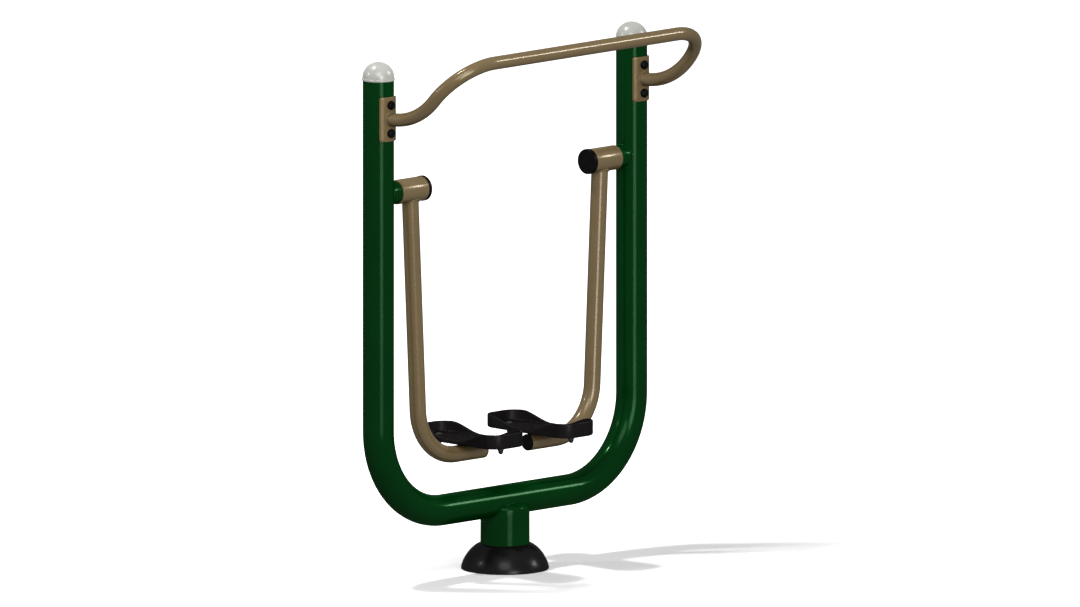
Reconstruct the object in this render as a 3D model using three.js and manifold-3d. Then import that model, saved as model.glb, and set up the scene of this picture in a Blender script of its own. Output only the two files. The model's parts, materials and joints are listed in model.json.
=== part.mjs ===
// Outdoor air walker for a park: a U of steel tube on one short pedestal, a handlebar between
// the post tops, and two swing arms with foot pedals that hang from ball bearings on the posts.
// Sizes are millimetres. The floor is z = 0 and z points up. x = 0, y = 0 is the middle of the
// pedestal, and -y is the front, where the handlebar is and where the user looks. Left is -x.

import * as THREE from 'three';
import { mergeVertices } from 'three/addons/utils/BufferGeometryUtils.js';
import Module from 'manifold-3d';

const wasm = await Module();
wasm.setup();

// Driving dimensions of the U frame
const POST_SPACING = 1015;
const POST_TOP = 1459;
const FRAME_TUBE = 89;
const FRAME_WALL = 3.5;
const FRAME_BEND = 254;
const BAR_AXIS_HEIGHT = 196;

// Foot: cover, anchor flange under it, and pedestal with its drawn-in shoulder
const COVER = 250;
const COVER_HEIGHT = 73;
const COVER_WALL = 3;
const COVER_FULLNESS = 1.5;
const FLANGE_ROOM = 15;
const FLANGE_THICKNESS = 12;
const ANCHOR_EDGE = 20;
const ANCHOR_HOLE = 18;
const ANCHOR_COUNT = 4;
const PEDESTAL_TUBE = 140;
const PEDESTAL_WALL = 5;
const SHOULDER_RISE = 20;
const SHOULDER_DROP = 4;

// Caps on the post tops
const CAP_BRIM_OVERHANG = 2.5;
const CAP_BRIM_HEIGHT = 6;
const CAP_BRIM_STEP = 1.5;
const CAP_DOME_HEIGHT = 46;
const CAP_WALL = 3;
const CAP_SKIRT = 22;

// Handlebar: one tube that rises from both posts and runs round two corners to its grip bar
const HANDLE_TUBE = 38;
const HANDLE_WALL = 2.5;
const HANDLE_ROOT_DROP = 107;
const HANDLE_ROOT_LENGTH = 5.5;
const HANDLE_RISE_BEND = 232;
const HANDLE_RISE_DEGREES = 46.6;
const HANDLE_CORNER_BEND = 142.5;

// Curved plates that bolt the handlebar to the posts
const PLATE_HEIGHT = 128;
const PLATE_THICKNESS = 5;
const PLATE_HALF_WRAP_DEGREES = 42;
const PLATE_CORNER = 8;
const PLATE_BOLT_SPACING = 81;
const PLATE_BOLT = 8;
const PLATE_BOLT_LENGTH = 26;
const BOLT_COVER = 26;
const BOLT_COVER_WALL = 3;

// Pivots: boss on the post, axle, two ball bearings, and the housing that turns on them
const PIVOT_HEIGHT = 1129;
const BOSS = 66;
const BOSS_LENGTH = 22.7;
const RUNNING_GAP = 1;
const HOUSING = 70;
const HOUSING_LENGTH = 107.5;
const HOUSING_LIP = 3;
const HOUSING_LIP_BORE = 56;
const BEARING_BORE = 30;
const BEARING_OUTSIDE = 62;
const BEARING_WIDTH = 16;
const BEARING_RACE = 5;
const BEARING_GROOVE = 2;
const BALL = 9;
const BALL_COUNT = 7;
const CAGE_THICKNESS = 2;
const CAGE_WIDTH = 6;
const AXLE_COLLAR_RIM = 4;
const AXLE_THREAD = 24;
const AXLE_NUT = 36;
const AXLE_NUT_HEIGHT = 11;
const AXLE_THREAD_END = 2;
const END_CAP_THICKNESS = 6;
const END_CAP_ROUND = 3;
const END_CAP_SKIRT = 10;
const END_CAP_WALL = 3;
const END_CAP_ROOM = 3;

// Swing limit: a key in the turning sleeve meets the ends of a lug on the fixed sleeve
const SWING_LIMIT_DEGREES = 60;
const LIMIT_CLEARANCE_DEGREES = 1;
const KEY_DEGREES = 20;
const KEY_WIDTH = 18;
const SLEEVE_WALL = 3;
const SLEEVE_RUNNING_GAP = 1.2;

// Swing arms
const ARM_TUBE = 48;
const ARM_WALL = 3;
const ARM_LEAN_DEGREES = 2.86;
const ARM_BEND = 148;
const ARM_AXIS_HEIGHT = 350.5;
const ARM_OVERHANG = 51;
const ARM_SEAT_SHARE = 0.46;
const PLUG_DOME = 4;
const PLUG_SKIRT = 12;
const PLUG_WALL = 2.5;

// Foot pedals and the flat bars that carry them
const PEDAL_SPACING = 282;
const PEDAL_LENGTH = 343;
const PEDAL_WIDTH = 140;
const PEDAL_CORNER = 50;
const PEDAL_FLOOR = 7;
const PEDAL_WALL = 7;
const PEDAL_EDGE_ROUND = 4;
const HEEL_RIM = 37;
const TOE_RIM = 42;
const WAIST_RIM = 11.5;
const WAIST_HALF_LENGTH = 20;
const HEEL_RISE_LENGTH = 120;
const TOE_RISE_LENGTH = 115;
const TREAD_PITCH = 21;
const TREAD_WIDTH = 8;
const TREAD_HEIGHT = 2.5;
const TREAD_BOLT_ROOM = 2;
const TREAD_SIDE_ROOM = 14;
const BRACKET_END_ROOM = 16;
const BRACKET_WIDTH = 50;
const BRACKET_THICKNESS = 4;
const BRACKET_CORNER = 10;
const PEDAL_BOLT_SPACING = 248;
const PEDAL_BOLT = 10;
const PEDAL_BOLT_HEAD = 20;
const PEDAL_BOLT_HEAD_HEIGHT = 4.5;
const PEDAL_BOLT_TAIL = 5;
const NUT_DOME_RADIUS_SHARE = 0.75;
const NUT_DOME_HEIGHT_SHARE = 1;

// Shared by all: bolt proportions, the gap left where two pieces touch, and the overrun of cuts
const HEX_ACROSS_SHARE = 1.625;
const HEX_HEIGHT_SHARE = 0.8;
const SEAT_GAP = 0.3;
const OVERRUN = 5;

// Facets: sides of round sections, and steps of bends and curves
const TUBE_SIDES = 24;
const BORE_SIDES = 12;
const THIN_TUBE_SIDES = 16;
const THIN_BORE_SIDES = 8;
const CAP_SIDES = 20;
const RING_SIDES = 12;
const HOUSING_SIDES = 20;
const DISC_SIDES = 28;
const SMALL_SIDES = 8;
const HEX_SIDES = 6;
const BALL_SIDES = 6;
const BALL_RINGS = 3;
const DOME_STEPS = 5;
const INNER_STEPS = 2;
const CORNER_STEPS = 3;
const PLATE_STEPS = 8;
const RIM_STEPS = 6;
const EDGE_STEPS = 1;
const BEND_STEP_DEGREES = 11.25;

// Places that follow from the sizes above
const FLANGE = COVER - 2 * FLANGE_ROOM;
const ANCHOR_CIRCLE = FLANGE - 2 * ANCHOR_EDGE;
const HANDLE_ROOT_HEIGHT = POST_TOP - HANDLE_ROOT_DROP;
const POST_X = POST_SPACING / 2;
const POST_RADIUS = FRAME_TUBE / 2;
const POST_BORE_RADIUS = POST_RADIUS - FRAME_WALL;
const PLATE_INNER_RADIUS = POST_RADIUS + SEAT_GAP;
const PLATE_OUTER_RADIUS = PLATE_INNER_RADIUS + PLATE_THICKNESS;
const BOSS_INNER_X = POST_X - POST_RADIUS - BOSS_LENGTH;
const HOUSING_OUTER_X = BOSS_INNER_X - RUNNING_GAP;
const HOUSING_INNER_X = HOUSING_OUTER_X - HOUSING_LENGTH;
const HOUSING_RADIUS = HOUSING / 2;
const HOUSING_BORE_RADIUS = BEARING_OUTSIDE / 2;
const AXLE_RADIUS = BEARING_BORE / 2 - SEAT_GAP;
const OUTBOARD_BEARING_X = HOUSING_OUTER_X - HOUSING_LIP - SEAT_GAP - BEARING_WIDTH;
const NUT_INNER_X = HOUSING_INNER_X + END_CAP_SKIRT + END_CAP_ROOM + AXLE_THREAD_END;
const INBOARD_BEARING_X = NUT_INNER_X + AXLE_NUT_HEIGHT + SEAT_GAP;
const SLEEVE_START_X = INBOARD_BEARING_X + BEARING_WIDTH + SEAT_GAP;
const SLEEVE_END_X = OUTBOARD_BEARING_X - SEAT_GAP;
const ARM_RADIUS = ARM_TUBE / 2;
const ARM_BORE_RADIUS = ARM_RADIUS - ARM_WALL;
const ARM_TOP_X = HOUSING_INNER_X + HOUSING_LENGTH * ARM_SEAT_SHARE;
const ARM_END_X = PEDAL_SPACING / 2 - ARM_OVERHANG;
const BRACKET_BASE = ARM_AXIS_HEIGHT + ARM_RADIUS + SEAT_GAP;
const BRACKET_LENGTH = PEDAL_BOLT_SPACING + 2 * BRACKET_END_ROOM;
const PEDAL_BASE = BRACKET_BASE + BRACKET_THICKNESS + SEAT_GAP;
const PEDAL_FLOOR_TOP = PEDAL_BASE + PEDAL_FLOOR;

// Colours as seen in daylight, with roughness and metalness
const GREEN = { color: 0x03300f, roughness: 0.28, metalness: 0.0 };
const TAN = { color: 0x705f47, roughness: 0.38, metalness: 0.25 };
const BLACK = { color: 0x121112, roughness: 0.55, metalness: 0.0 };
const PEARL = { color: 0xb8b9b2, roughness: 0.2, metalness: 0.0 };
const STEEL = { color: 0xa8abad, roughness: 0.35, metalness: 1.0 };
const ZINC = { color: 0x8f9294, roughness: 0.45, metalness: 1.0 };

// Solids for joining and cutting
function bareSolid(geometry) {
  const bare = geometry.clone();
  bare.deleteAttribute('normal');
  bare.deleteAttribute('uv');
  const merged = mergeVertices(bare);
  const corners = merged.index.array;
  const kept = [];
  for (let i = 0; i < corners.length; i += 3) {
    const [a, b, c] = [corners[i], corners[i + 1], corners[i + 2]];
    if (a !== b && b !== c && c !== a) kept.push(a, b, c);
  }
  return new wasm.Manifold(new wasm.Mesh({
    numProp: 3,
    vertProperties: merged.attributes.position.array,
    triVerts: new Uint32Array(kept),
  }));
}

function geometryOf(solid) {
  const mesh = solid.getMesh();
  const geometry = new THREE.BufferGeometry();
  geometry.setAttribute('position', new THREE.BufferAttribute(mesh.vertProperties, 3));
  geometry.setIndex(new THREE.BufferAttribute(mesh.triVerts, 1));
  geometry.computeVertexNormals();
  return geometry;
}

function cut(geometry, ...tools) {
  let solid = bareSolid(geometry);
  for (const tool of tools) solid = solid.subtract(bareSolid(tool));
  return geometryOf(solid);
}

function join(geometry, ...others) {
  let solid = bareSolid(geometry);
  for (const other of others) solid = solid.add(bareSolid(other));
  return geometryOf(solid);
}

function common(geometry, other) {
  return geometryOf(bareSolid(geometry).intersect(bareSolid(other)));
}

// A hole's facets stand outside its true radius, so that a round piece of that radius fits it
function holeRadius(radius, sides) {
  return radius / Math.cos(Math.PI / sides);
}

function circlePoints(radius, sides) {
  const points = [];
  for (let i = 0; i < sides; i += 1) {
    const angle = (2 * Math.PI * i) / sides;
    points.push(new THREE.Vector2(radius * Math.cos(angle), radius * Math.sin(angle)));
  }
  return points;
}

function tubeSection(radius, sides, boreRadius, boreSides) {
  const section = new THREE.Shape(circlePoints(radius, sides));
  section.holes.push(new THREE.Path(circlePoints(holeRadius(boreRadius, boreSides), boreSides)));
  return section;
}

// A body turned about z from [radius, height] pairs, listed counter-clockwise
function turned(profile, sides) {
  const points = profile.map(([radius, height]) => new THREE.Vector2(radius, height));
  const geometry = new THREE.LatheGeometry(points, sides);
  geometry.rotateX(Math.PI / 2);
  return geometry;
}

// The same about x, with the heights running outwards along +x
function turnedOnX(profile, sides) {
  const geometry = turned(profile, sides);
  geometry.rotateY(Math.PI / 2);
  return geometry;
}

function ring(outer, inner, start, end, sides) {
  const bore = holeRadius(inner, sides);
  return [[outer, start], [outer, end], [bore, end], [bore, start], [outer, start]];
}

function rod(radius, start, end) {
  return [[0, start], [radius, start], [radius, end], [0, end]];
}

// Cutters: round bars along x, y or z that leave a hole of the given radius
function cutterOnZ(radius, start, end, sides) {
  return turned(rod(holeRadius(radius, sides), start, end), sides);
}

function cutterOnX(radius, start, end, sides) {
  const geometry = cutterOnZ(radius, start, end, sides);
  geometry.rotateY(Math.PI / 2);
  return geometry;
}

function cutterOnY(radius, start, end, sides) {
  const geometry = cutterOnZ(radius, start, end, sides);
  geometry.rotateX(-Math.PI / 2);
  return geometry;
}

// A path of straight runs and round bends through corner points; it has one station at each
// end of a straight and one for each step of a bend
class BentPath extends THREE.Curve {
  constructor(corners) {
    super();
    this.stations = [];
    corners.forEach((corner, index) => this.addCorner(corners, corner, index));
  }

  addCorner(corners, corner, index) {
    const before = corners[index - 1];
    const after = corners[index + 1];
    if (!before || !after) {
      const from = before ? before.at : corner.at;
      const to = before ? corner.at : after.at;
      this.stations.push({ point: corner.at, tangent: to.clone().sub(from).normalize() });
      return;
    }
    const inward = corner.at.clone().sub(before.at).normalize();
    const outward = after.at.clone().sub(corner.at).normalize();
    const turn = inward.angleTo(outward);
    const axis = inward.clone().cross(outward).normalize();
    const reach = corner.bend * Math.tan(turn / 2);
    const start = corner.at.clone().addScaledVector(inward, -reach);
    const spoke = axis.clone().cross(inward).multiplyScalar(-corner.bend);
    const centre = start.clone().sub(spoke);
    const steps = Math.ceil(turn / THREE.MathUtils.degToRad(BEND_STEP_DEGREES));
    for (let step = 0; step <= steps; step += 1) {
      const angle = (turn * step) / steps;
      const point = centre.clone().add(spoke.clone().applyAxisAngle(axis, angle));
      this.stations.push({ point, tangent: inward.clone().applyAxisAngle(axis, angle) });
    }
  }

  getUtoTmapping(u) {
    return u;
  }

  getPoint(t, target = new THREE.Vector3()) {
    const place = t * (this.stations.length - 1);
    const index = Math.min(Math.floor(place), this.stations.length - 2);
    const from = this.stations[index].point;
    const to = this.stations[index + 1].point;
    return target.lerpVectors(from, to, place - index);
  }

  getTangent(t, target = new THREE.Vector3()) {
    const index = Math.round(t * (this.stations.length - 1));
    return target.copy(this.stations[index].tangent);
  }
}

function bentTube(section, corners) {
  const path = new BentPath(corners);
  return new THREE.ExtrudeGeometry(section, {
    steps: path.stations.length - 1,
    extrudePath: path,
    bevelEnabled: false,
  });
}

// A rectangle with round corners, centred on the origin
function roundedRectangle(width, length, corner, steps) {
  const points = [];
  const arms = [[1, 1], [-1, 1], [-1, -1], [1, -1]];
  arms.forEach(([sx, sy], quarter) => {
    for (let step = 0; step <= steps; step += 1) {
      const angle = (Math.PI / 2) * (quarter + step / steps);
      const x = sx * (width / 2 - corner) + corner * Math.cos(angle);
      const y = sy * (length / 2 - corner) + corner * Math.sin(angle);
      points.push(new THREE.Vector2(x, y));
    }
  });
  return new THREE.Shape(points);
}

// A piece of a ring between two angles, seen along its axis
function ringSector(inner, outer, from, to, steps) {
  const points = [];
  for (let step = 0; step <= steps; step += 1) {
    const angle = from + ((to - from) * step) / steps;
    points.push(new THREE.Vector2(outer * Math.cos(angle), outer * Math.sin(angle)));
  }
  for (let step = steps; step >= 0; step -= 1) {
    const angle = from + ((to - from) * step) / steps;
    points.push(new THREE.Vector2(inner * Math.cos(angle), inner * Math.sin(angle)));
  }
  return new THREE.Shape(points);
}

function slab(shape, base, thickness) {
  const geometry = new THREE.ExtrudeGeometry(shape, { depth: thickness, bevelEnabled: false });
  geometry.translate(0, 0, base);
  return geometry;
}

function hexBar(across, start, end) {
  const corner = across / 2 / Math.cos(Math.PI / HEX_SIDES);
  return turned(rod(corner, start, end), HEX_SIDES);
}

// Points of a quarter ellipse that starts upright at a radius and height and draws inwards
function quarterCurve(radius, height, run, rise, steps) {
  const points = [];
  for (let step = 0; step <= steps; step += 1) {
    const angle = (Math.PI / 2) * (step / steps);
    const drawn = step === steps ? run : run * (1 - Math.cos(angle));
    points.push([radius - drawn, height + rise * Math.sin(angle)]);
  }
  return points;
}

// Foot
function anchorFlange() {
  const disc = turned(rod(FLANGE / 2, 0, FLANGE_THICKNESS), DISC_SIDES);
  const holes = [];
  for (let i = 0; i < ANCHOR_COUNT; i += 1) {
    const angle = (2 * Math.PI * (i + 1 / 2)) / ANCHOR_COUNT;
    const hole = cutterOnZ(ANCHOR_HOLE / 2, -OVERRUN, FLANGE_THICKNESS + OVERRUN, SMALL_SIDES);
    hole.translate(
      (ANCHOR_CIRCLE / 2) * Math.cos(angle),
      (ANCHOR_CIRCLE / 2) * Math.sin(angle),
      0,
    );
    holes.push(hole);
  }
  return cut(disc, ...holes);
}

// The pedestal's top is drawn in to a shoulder and coped, so that its front and back lips
// close on the sides of the bottom bar just below its middle
function pedestal() {
  const radius = PEDESTAL_TUBE / 2;
  const base = FLANGE_THICKNESS + SEAT_GAP;
  const shoulderBase = BAR_AXIS_HEIGHT - SHOULDER_DROP - SHOULDER_RISE;
  const run = radius - POST_RADIUS;
  const boreRadius = radius - PEDESTAL_WALL;
  const outer = quarterCurve(radius, shoulderBase, run, SHOULDER_RISE, CORNER_STEPS);
  const innerRise = SHOULDER_RISE - PEDESTAL_WALL;
  const inner = quarterCurve(boreRadius, shoulderBase, run, innerRise, INNER_STEPS);
  const profile = [[radius, base], ...outer, ...inner.reverse(), [boreRadius, base], [radius, base]];
  const barCut = cutterOnX(POST_RADIUS + SEAT_GAP, -radius - OVERRUN, radius + OVERRUN, DISC_SIDES);
  barCut.translate(0, 0, BAR_AXIS_HEIGHT);
  return cut(turned(profile, DISC_SIDES), barCut);
}

// The cover swells from the pedestal to the floor as a superellipse
function coverCurve(hole, edge, height, steps) {
  const points = [[edge, 0]];
  for (let step = 1; step < steps; step += 1) {
    const angle = (Math.PI / 2) * (step / steps);
    const out = Math.cos(angle) ** (2 / COVER_FULLNESS);
    const up = Math.sin(angle) ** (2 / COVER_FULLNESS);
    points.push([hole + (edge - hole) * out, height * up]);
  }
  points.push([hole, height]);
  return points;
}

function baseCover() {
  const hole = holeRadius(PEDESTAL_TUBE / 2 + SEAT_GAP, DISC_SIDES);
  const outer = coverCurve(hole, COVER / 2, COVER_HEIGHT, RIM_STEPS);
  const inner = coverCurve(hole, COVER / 2 - COVER_WALL, COVER_HEIGHT - COVER_WALL, CORNER_STEPS);
  return turned([...outer, ...inner.reverse(), outer[0]], DISC_SIDES);
}

// U frame: both posts and the bottom bar are one bent tube, bored for the plate bolts
function uFrame() {
  const at = (x, z) => new THREE.Vector3(x, 0, z);
  const section = tubeSection(POST_RADIUS, TUBE_SIDES, POST_BORE_RADIUS, BORE_SIDES);
  const tube = bentTube(section, [
    { at: at(-POST_X, POST_TOP) },
    { at: at(-POST_X, BAR_AXIS_HEIGHT), bend: FRAME_BEND },
    { at: at(POST_X, BAR_AXIS_HEIGHT), bend: FRAME_BEND },
    { at: at(POST_X, POST_TOP) },
  ]);
  const holes = [];
  for (const x of [-POST_X, POST_X]) {
    for (const z of boltHeights()) {
      const hole = cutterOnY(PLATE_BOLT / 2 + SEAT_GAP, -POST_RADIUS - OVERRUN, 0, SMALL_SIDES);
      hole.translate(x, 0, z);
      holes.push(hole);
    }
  }
  return cut(tube, ...holes);
}

function boltHeights() {
  return [PLATE_BOLT_SPACING / 2, -PLATE_BOLT_SPACING / 2].map((rise) => HANDLE_ROOT_HEIGHT + rise);
}

// Post cap: a thin dome with a brim on the tube's end and a skirt inside the tube
function postCap() {
  const brim = POST_RADIUS + CAP_BRIM_OVERHANG;
  const dome = brim - CAP_BRIM_STEP;
  const skirt = POST_BORE_RADIUS - SEAT_GAP;
  const hollow = skirt - CAP_WALL;
  const seat = SEAT_GAP;
  const brimTop = seat + CAP_BRIM_HEIGHT;
  const outer = quarterCurve(dome, brimTop, dome, CAP_DOME_HEIGHT, DOME_STEPS);
  const inner = quarterCurve(hollow, brimTop, hollow, CAP_DOME_HEIGHT - CAP_WALL, INNER_STEPS);
  const profile = [
    ...inner.reverse(),
    [hollow, -CAP_SKIRT],
    [skirt, -CAP_SKIRT],
    [skirt, seat],
    [brim, seat],
    [brim, brimTop],
    ...outer,
  ];
  return turned(profile, CAP_SIDES);
}

// Handlebar: both ends are coped to the curved plates
function handlebar() {
  const rise = THREE.MathUtils.degToRad(HANDLE_RISE_DEGREES);
  const riseReach = HANDLE_RISE_BEND * Math.tan(rise / 2);
  const rootCorner = PLATE_OUTER_RADIUS + HANDLE_ROOT_LENGTH + riseReach;
  const leg = riseReach + HANDLE_CORNER_BEND;
  const gripY = -rootCorner - leg * Math.cos(rise);
  const gripZ = HANDLE_ROOT_HEIGHT + leg * Math.sin(rise);
  const at = (x, y, z) => new THREE.Vector3(x, y, z);
  const section = tubeSection(
    HANDLE_TUBE / 2,
    THIN_TUBE_SIDES,
    HANDLE_TUBE / 2 - HANDLE_WALL,
    THIN_BORE_SIDES,
  );
  const tube = bentTube(section, [
    { at: at(-POST_X, -POST_RADIUS, HANDLE_ROOT_HEIGHT) },
    { at: at(-POST_X, -rootCorner, HANDLE_ROOT_HEIGHT), bend: HANDLE_RISE_BEND },
    { at: at(-POST_X, gripY, gripZ), bend: HANDLE_CORNER_BEND },
    { at: at(POST_X, gripY, gripZ), bend: HANDLE_CORNER_BEND },
    { at: at(POST_X, -rootCorner, HANDLE_ROOT_HEIGHT), bend: HANDLE_RISE_BEND },
    { at: at(POST_X, -POST_RADIUS, HANDLE_ROOT_HEIGHT) },
  ]);
  const copes = [-POST_X, POST_X].map((x) => {
    const cope = cutterOnZ(PLATE_OUTER_RADIUS + SEAT_GAP, -HANDLE_TUBE, HANDLE_TUBE, DISC_SIDES);
    cope.translate(x, 0, HANDLE_ROOT_HEIGHT);
    return cope;
  });
  return cut(tube, ...copes);
}

// Curved plate, local to the post's axis at the handlebar's root height
function saddlePlate() {
  const wrap = THREE.MathUtils.degToRad(PLATE_HALF_WRAP_DEGREES);
  const middle = -Math.PI / 2;
  const inner = PLATE_INNER_RADIUS / Math.cos(wrap / PLATE_STEPS);
  const outer = inner + PLATE_THICKNESS;
  const sector = ringSector(inner, outer, middle - wrap, middle + wrap, PLATE_STEPS);
  const shell = slab(sector, -PLATE_HEIGHT / 2, PLATE_HEIGHT);
  const width = 2 * outer * Math.sin(wrap);
  const outline = slab(
    roundedRectangle(width, PLATE_HEIGHT, PLATE_CORNER, CORNER_STEPS),
    0,
    outer + OVERRUN,
  );
  outline.rotateX(Math.PI / 2);
  const holes = [PLATE_BOLT_SPACING / 2, -PLATE_BOLT_SPACING / 2].map((z) => {
    const hole = cutterOnY(PLATE_BOLT / 2 + SEAT_GAP, -outer - OVERRUN, 0, SMALL_SIDES);
    hole.translate(0, 0, z);
    return hole;
  });
  return cut(common(shell, outline), ...holes);
}

// Plate bolt: hexagon head on the plate and a shank through plate and post wall, along -y
function plateBolt() {
  const seat = PLATE_OUTER_RADIUS + SEAT_GAP;
  const headTop = seat + PLATE_BOLT * HEX_HEIGHT_SHARE;
  const head = hexBar(PLATE_BOLT * HEX_ACROSS_SHARE, seat, headTop);
  const shank = turned(rod(PLATE_BOLT / 2, headTop - PLATE_BOLT_LENGTH, headTop), SMALL_SIDES);
  const bolt = join(head, shank);
  bolt.rotateX(Math.PI / 2);
  return bolt;
}

// Snap cover over a bolt head, coped to the plate
function boltCover() {
  const seat = PLATE_OUTER_RADIUS + SEAT_GAP;
  const foot = seat - BOLT_COVER_WALL;
  const radius = BOLT_COVER / 2;
  const hollow = radius - BOLT_COVER_WALL;
  const hollowTop = seat + PLATE_BOLT * HEX_HEIGHT_SHARE + SEAT_GAP;
  const top = hollowTop + BOLT_COVER_WALL;
  const domeBase = seat + BOLT_COVER_WALL;
  const profile = [
    [0, hollowTop],
    [hollow, hollowTop],
    [hollow, foot],
    [radius, foot],
    ...quarterCurve(radius, domeBase, radius, top - domeBase, CORNER_STEPS),
  ];
  const cover = turned(profile, RING_SIDES);
  cover.rotateX(Math.PI / 2);
  return cut(cover, cutterOnZ(seat, -BOLT_COVER, BOLT_COVER, DISC_SIDES));
}

// Pivot pieces lie along +x, outwards, with their axis at y = 0, z = 0
function axleBoss() {
  const boss = turnedOnX(
    ring(BOSS / 2, AXLE_RADIUS + SEAT_GAP, BOSS_INNER_X, POST_X, HOUSING_SIDES),
    HOUSING_SIDES,
  );
  const cope = cutterOnZ(POST_RADIUS + SEAT_GAP, -BOSS, BOSS, DISC_SIDES);
  cope.translate(POST_X, 0, 0);
  return cut(boss, cope);
}

// Axle: journal through both bearings, a collar against the outboard one, a threaded end
function axle() {
  const threadRadius = AXLE_THREAD / 2;
  const threadEnd = NUT_INNER_X - AXLE_THREAD_END;
  const collar = AXLE_RADIUS + AXLE_COLLAR_RIM;
  const collarStart = OUTBOARD_BEARING_X + BEARING_WIDTH + SEAT_GAP;
  const collarEnd = BOSS_INNER_X - SEAT_GAP;
  const outerEnd = POST_X - POST_RADIUS - SEAT_GAP;
  const profile = [
    [0, threadEnd],
    [threadRadius, threadEnd],
    [threadRadius, INBOARD_BEARING_X],
    [AXLE_RADIUS, INBOARD_BEARING_X],
    [AXLE_RADIUS, collarStart],
    [collar, collarStart],
    [collar, collarEnd],
    [AXLE_RADIUS, collarEnd],
    [AXLE_RADIUS, outerEnd],
    [0, outerEnd],
  ];
  return turnedOnX(profile, RING_SIDES);
}

function axleNut() {
  const nut = hexBar(AXLE_NUT, NUT_INNER_X, NUT_INNER_X + AXLE_NUT_HEIGHT);
  const bore = cutterOnZ(
    AXLE_THREAD / 2 + SEAT_GAP,
    NUT_INNER_X - OVERRUN,
    NUT_INNER_X + AXLE_NUT_HEIGHT + OVERRUN,
    RING_SIDES,
  );
  const geometry = cut(nut, bore);
  geometry.rotateY(Math.PI / 2);
  return geometry;
}

// Bearing rings have a shallow ball groove; wall is the side that seats, race the grooved side
function bearingInnerRing(start) {
  const bore = holeRadius(BEARING_BORE / 2, RING_SIDES);
  const race = BEARING_BORE / 2 + BEARING_RACE;
  const end = start + BEARING_WIDTH;
  const middle = start + BEARING_WIDTH / 2;
  const profile = [
    [bore, start],
    [race, start],
    [race, middle - BALL / 2],
    [race - BEARING_GROOVE, middle],
    [race, middle + BALL / 2],
    [race, end],
    [bore, end],
    [bore, start],
  ];
  return turnedOnX(profile, RING_SIDES);
}

function bearingOuterRing(start) {
  const outside = BEARING_OUTSIDE / 2 - SEAT_GAP;
  const race = holeRadius(outside - BEARING_RACE + SEAT_GAP, RING_SIDES);
  const end = start + BEARING_WIDTH;
  const middle = start + BEARING_WIDTH / 2;
  const profile = [
    [race, start],
    [outside, start],
    [outside, end],
    [race, end],
    [race, middle + BALL / 2],
    [race + BEARING_GROOVE, middle],
    [race, middle - BALL / 2],
    [race, start],
  ];
  return turnedOnX(profile, RING_SIDES);
}

// Balls held in one flat cage ring, turned as a set between the two races
function ballCage(start) {
  const pitch = (BEARING_BORE + BEARING_OUTSIDE) / 4;
  const middle = start + BEARING_WIDTH / 2;
  const cage = turnedOnX(
    ring(
      pitch + CAGE_THICKNESS / 2,
      pitch - CAGE_THICKNESS / 2,
      middle - CAGE_WIDTH / 2,
      middle + CAGE_WIDTH / 2,
      RING_SIDES,
    ),
    RING_SIDES,
  );
  const balls = [];
  for (let i = 0; i < BALL_COUNT; i += 1) {
    const angle = (2 * Math.PI * i) / BALL_COUNT;
    const ball = new THREE.SphereGeometry(BALL / 2, BALL_SIDES, BALL_RINGS);
    ball.rotateX(angle);
    ball.translate(middle, pitch * Math.cos(angle), pitch * Math.sin(angle));
    balls.push(ball);
  }
  return join(cage, ...balls);
}

function spacerRadius() {
  return AXLE_RADIUS + SEAT_GAP + SLEEVE_WALL;
}

function stopSleeveBore() {
  return HOUSING_BORE_RADIUS - SEAT_GAP - SLEEVE_WALL;
}

// Fixed sleeve between the inner rings, with the lug that limits the swing
function lugSleeve() {
  const sleeve = turnedOnX(
    ring(spacerRadius(), AXLE_RADIUS + SEAT_GAP, SLEEVE_START_X, SLEEVE_END_X, RING_SIDES),
    RING_SIDES,
  );
  const opening = THREE.MathUtils.degToRad(
    SWING_LIMIT_DEGREES + KEY_DEGREES / 2 + LIMIT_CLEARANCE_DEGREES,
  );
  const lugRadius = stopSleeveBore() - SLEEVE_RUNNING_GAP;
  const root = spacerRadius() - SLEEVE_WALL / 2;
  const sector = ringSector(root, lugRadius, opening, 2 * Math.PI - opening, RING_SIDES);
  return join(sleeve, limitBlock(sector));
}

// Turning sleeve between the outer rings, with the key that meets the lug
function keySleeve() {
  const outside = HOUSING_BORE_RADIUS - SEAT_GAP;
  const sleeve = turnedOnX(
    ring(outside, stopSleeveBore(), SLEEVE_START_X, SLEEVE_END_X, RING_SIDES),
    RING_SIDES,
  );
  const half = THREE.MathUtils.degToRad(KEY_DEGREES / 2);
  const root = outside - SLEEVE_WALL / 2;
  const tip = spacerRadius() + SLEEVE_RUNNING_GAP;
  return join(sleeve, limitBlock(ringSector(tip, root, -half, half, CORNER_STEPS)));
}

// A sector drawn about +x is turned so that its middle points up, in the middle of the sleeves
function limitBlock(sector) {
  const block = slab(sector, (SLEEVE_START_X + SLEEVE_END_X - KEY_WIDTH) / 2, KEY_WIDTH);
  block.rotateY(Math.PI / 2);
  block.rotateX(Math.PI);
  return block;
}

function bearingHousing() {
  const bore = holeRadius(HOUSING_BORE_RADIUS, HOUSING_SIDES);
  const lip = holeRadius(HOUSING_LIP_BORE / 2, HOUSING_SIDES);
  const lipStart = HOUSING_OUTER_X - HOUSING_LIP;
  const profile = [
    [bore, HOUSING_INNER_X],
    [HOUSING_RADIUS, HOUSING_INNER_X],
    [HOUSING_RADIUS, HOUSING_OUTER_X],
    [lip, HOUSING_OUTER_X],
    [lip, lipStart],
    [bore, lipStart],
    [bore, HOUSING_INNER_X],
  ];
  return turnedOnX(profile, HOUSING_SIDES);
}

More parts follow.
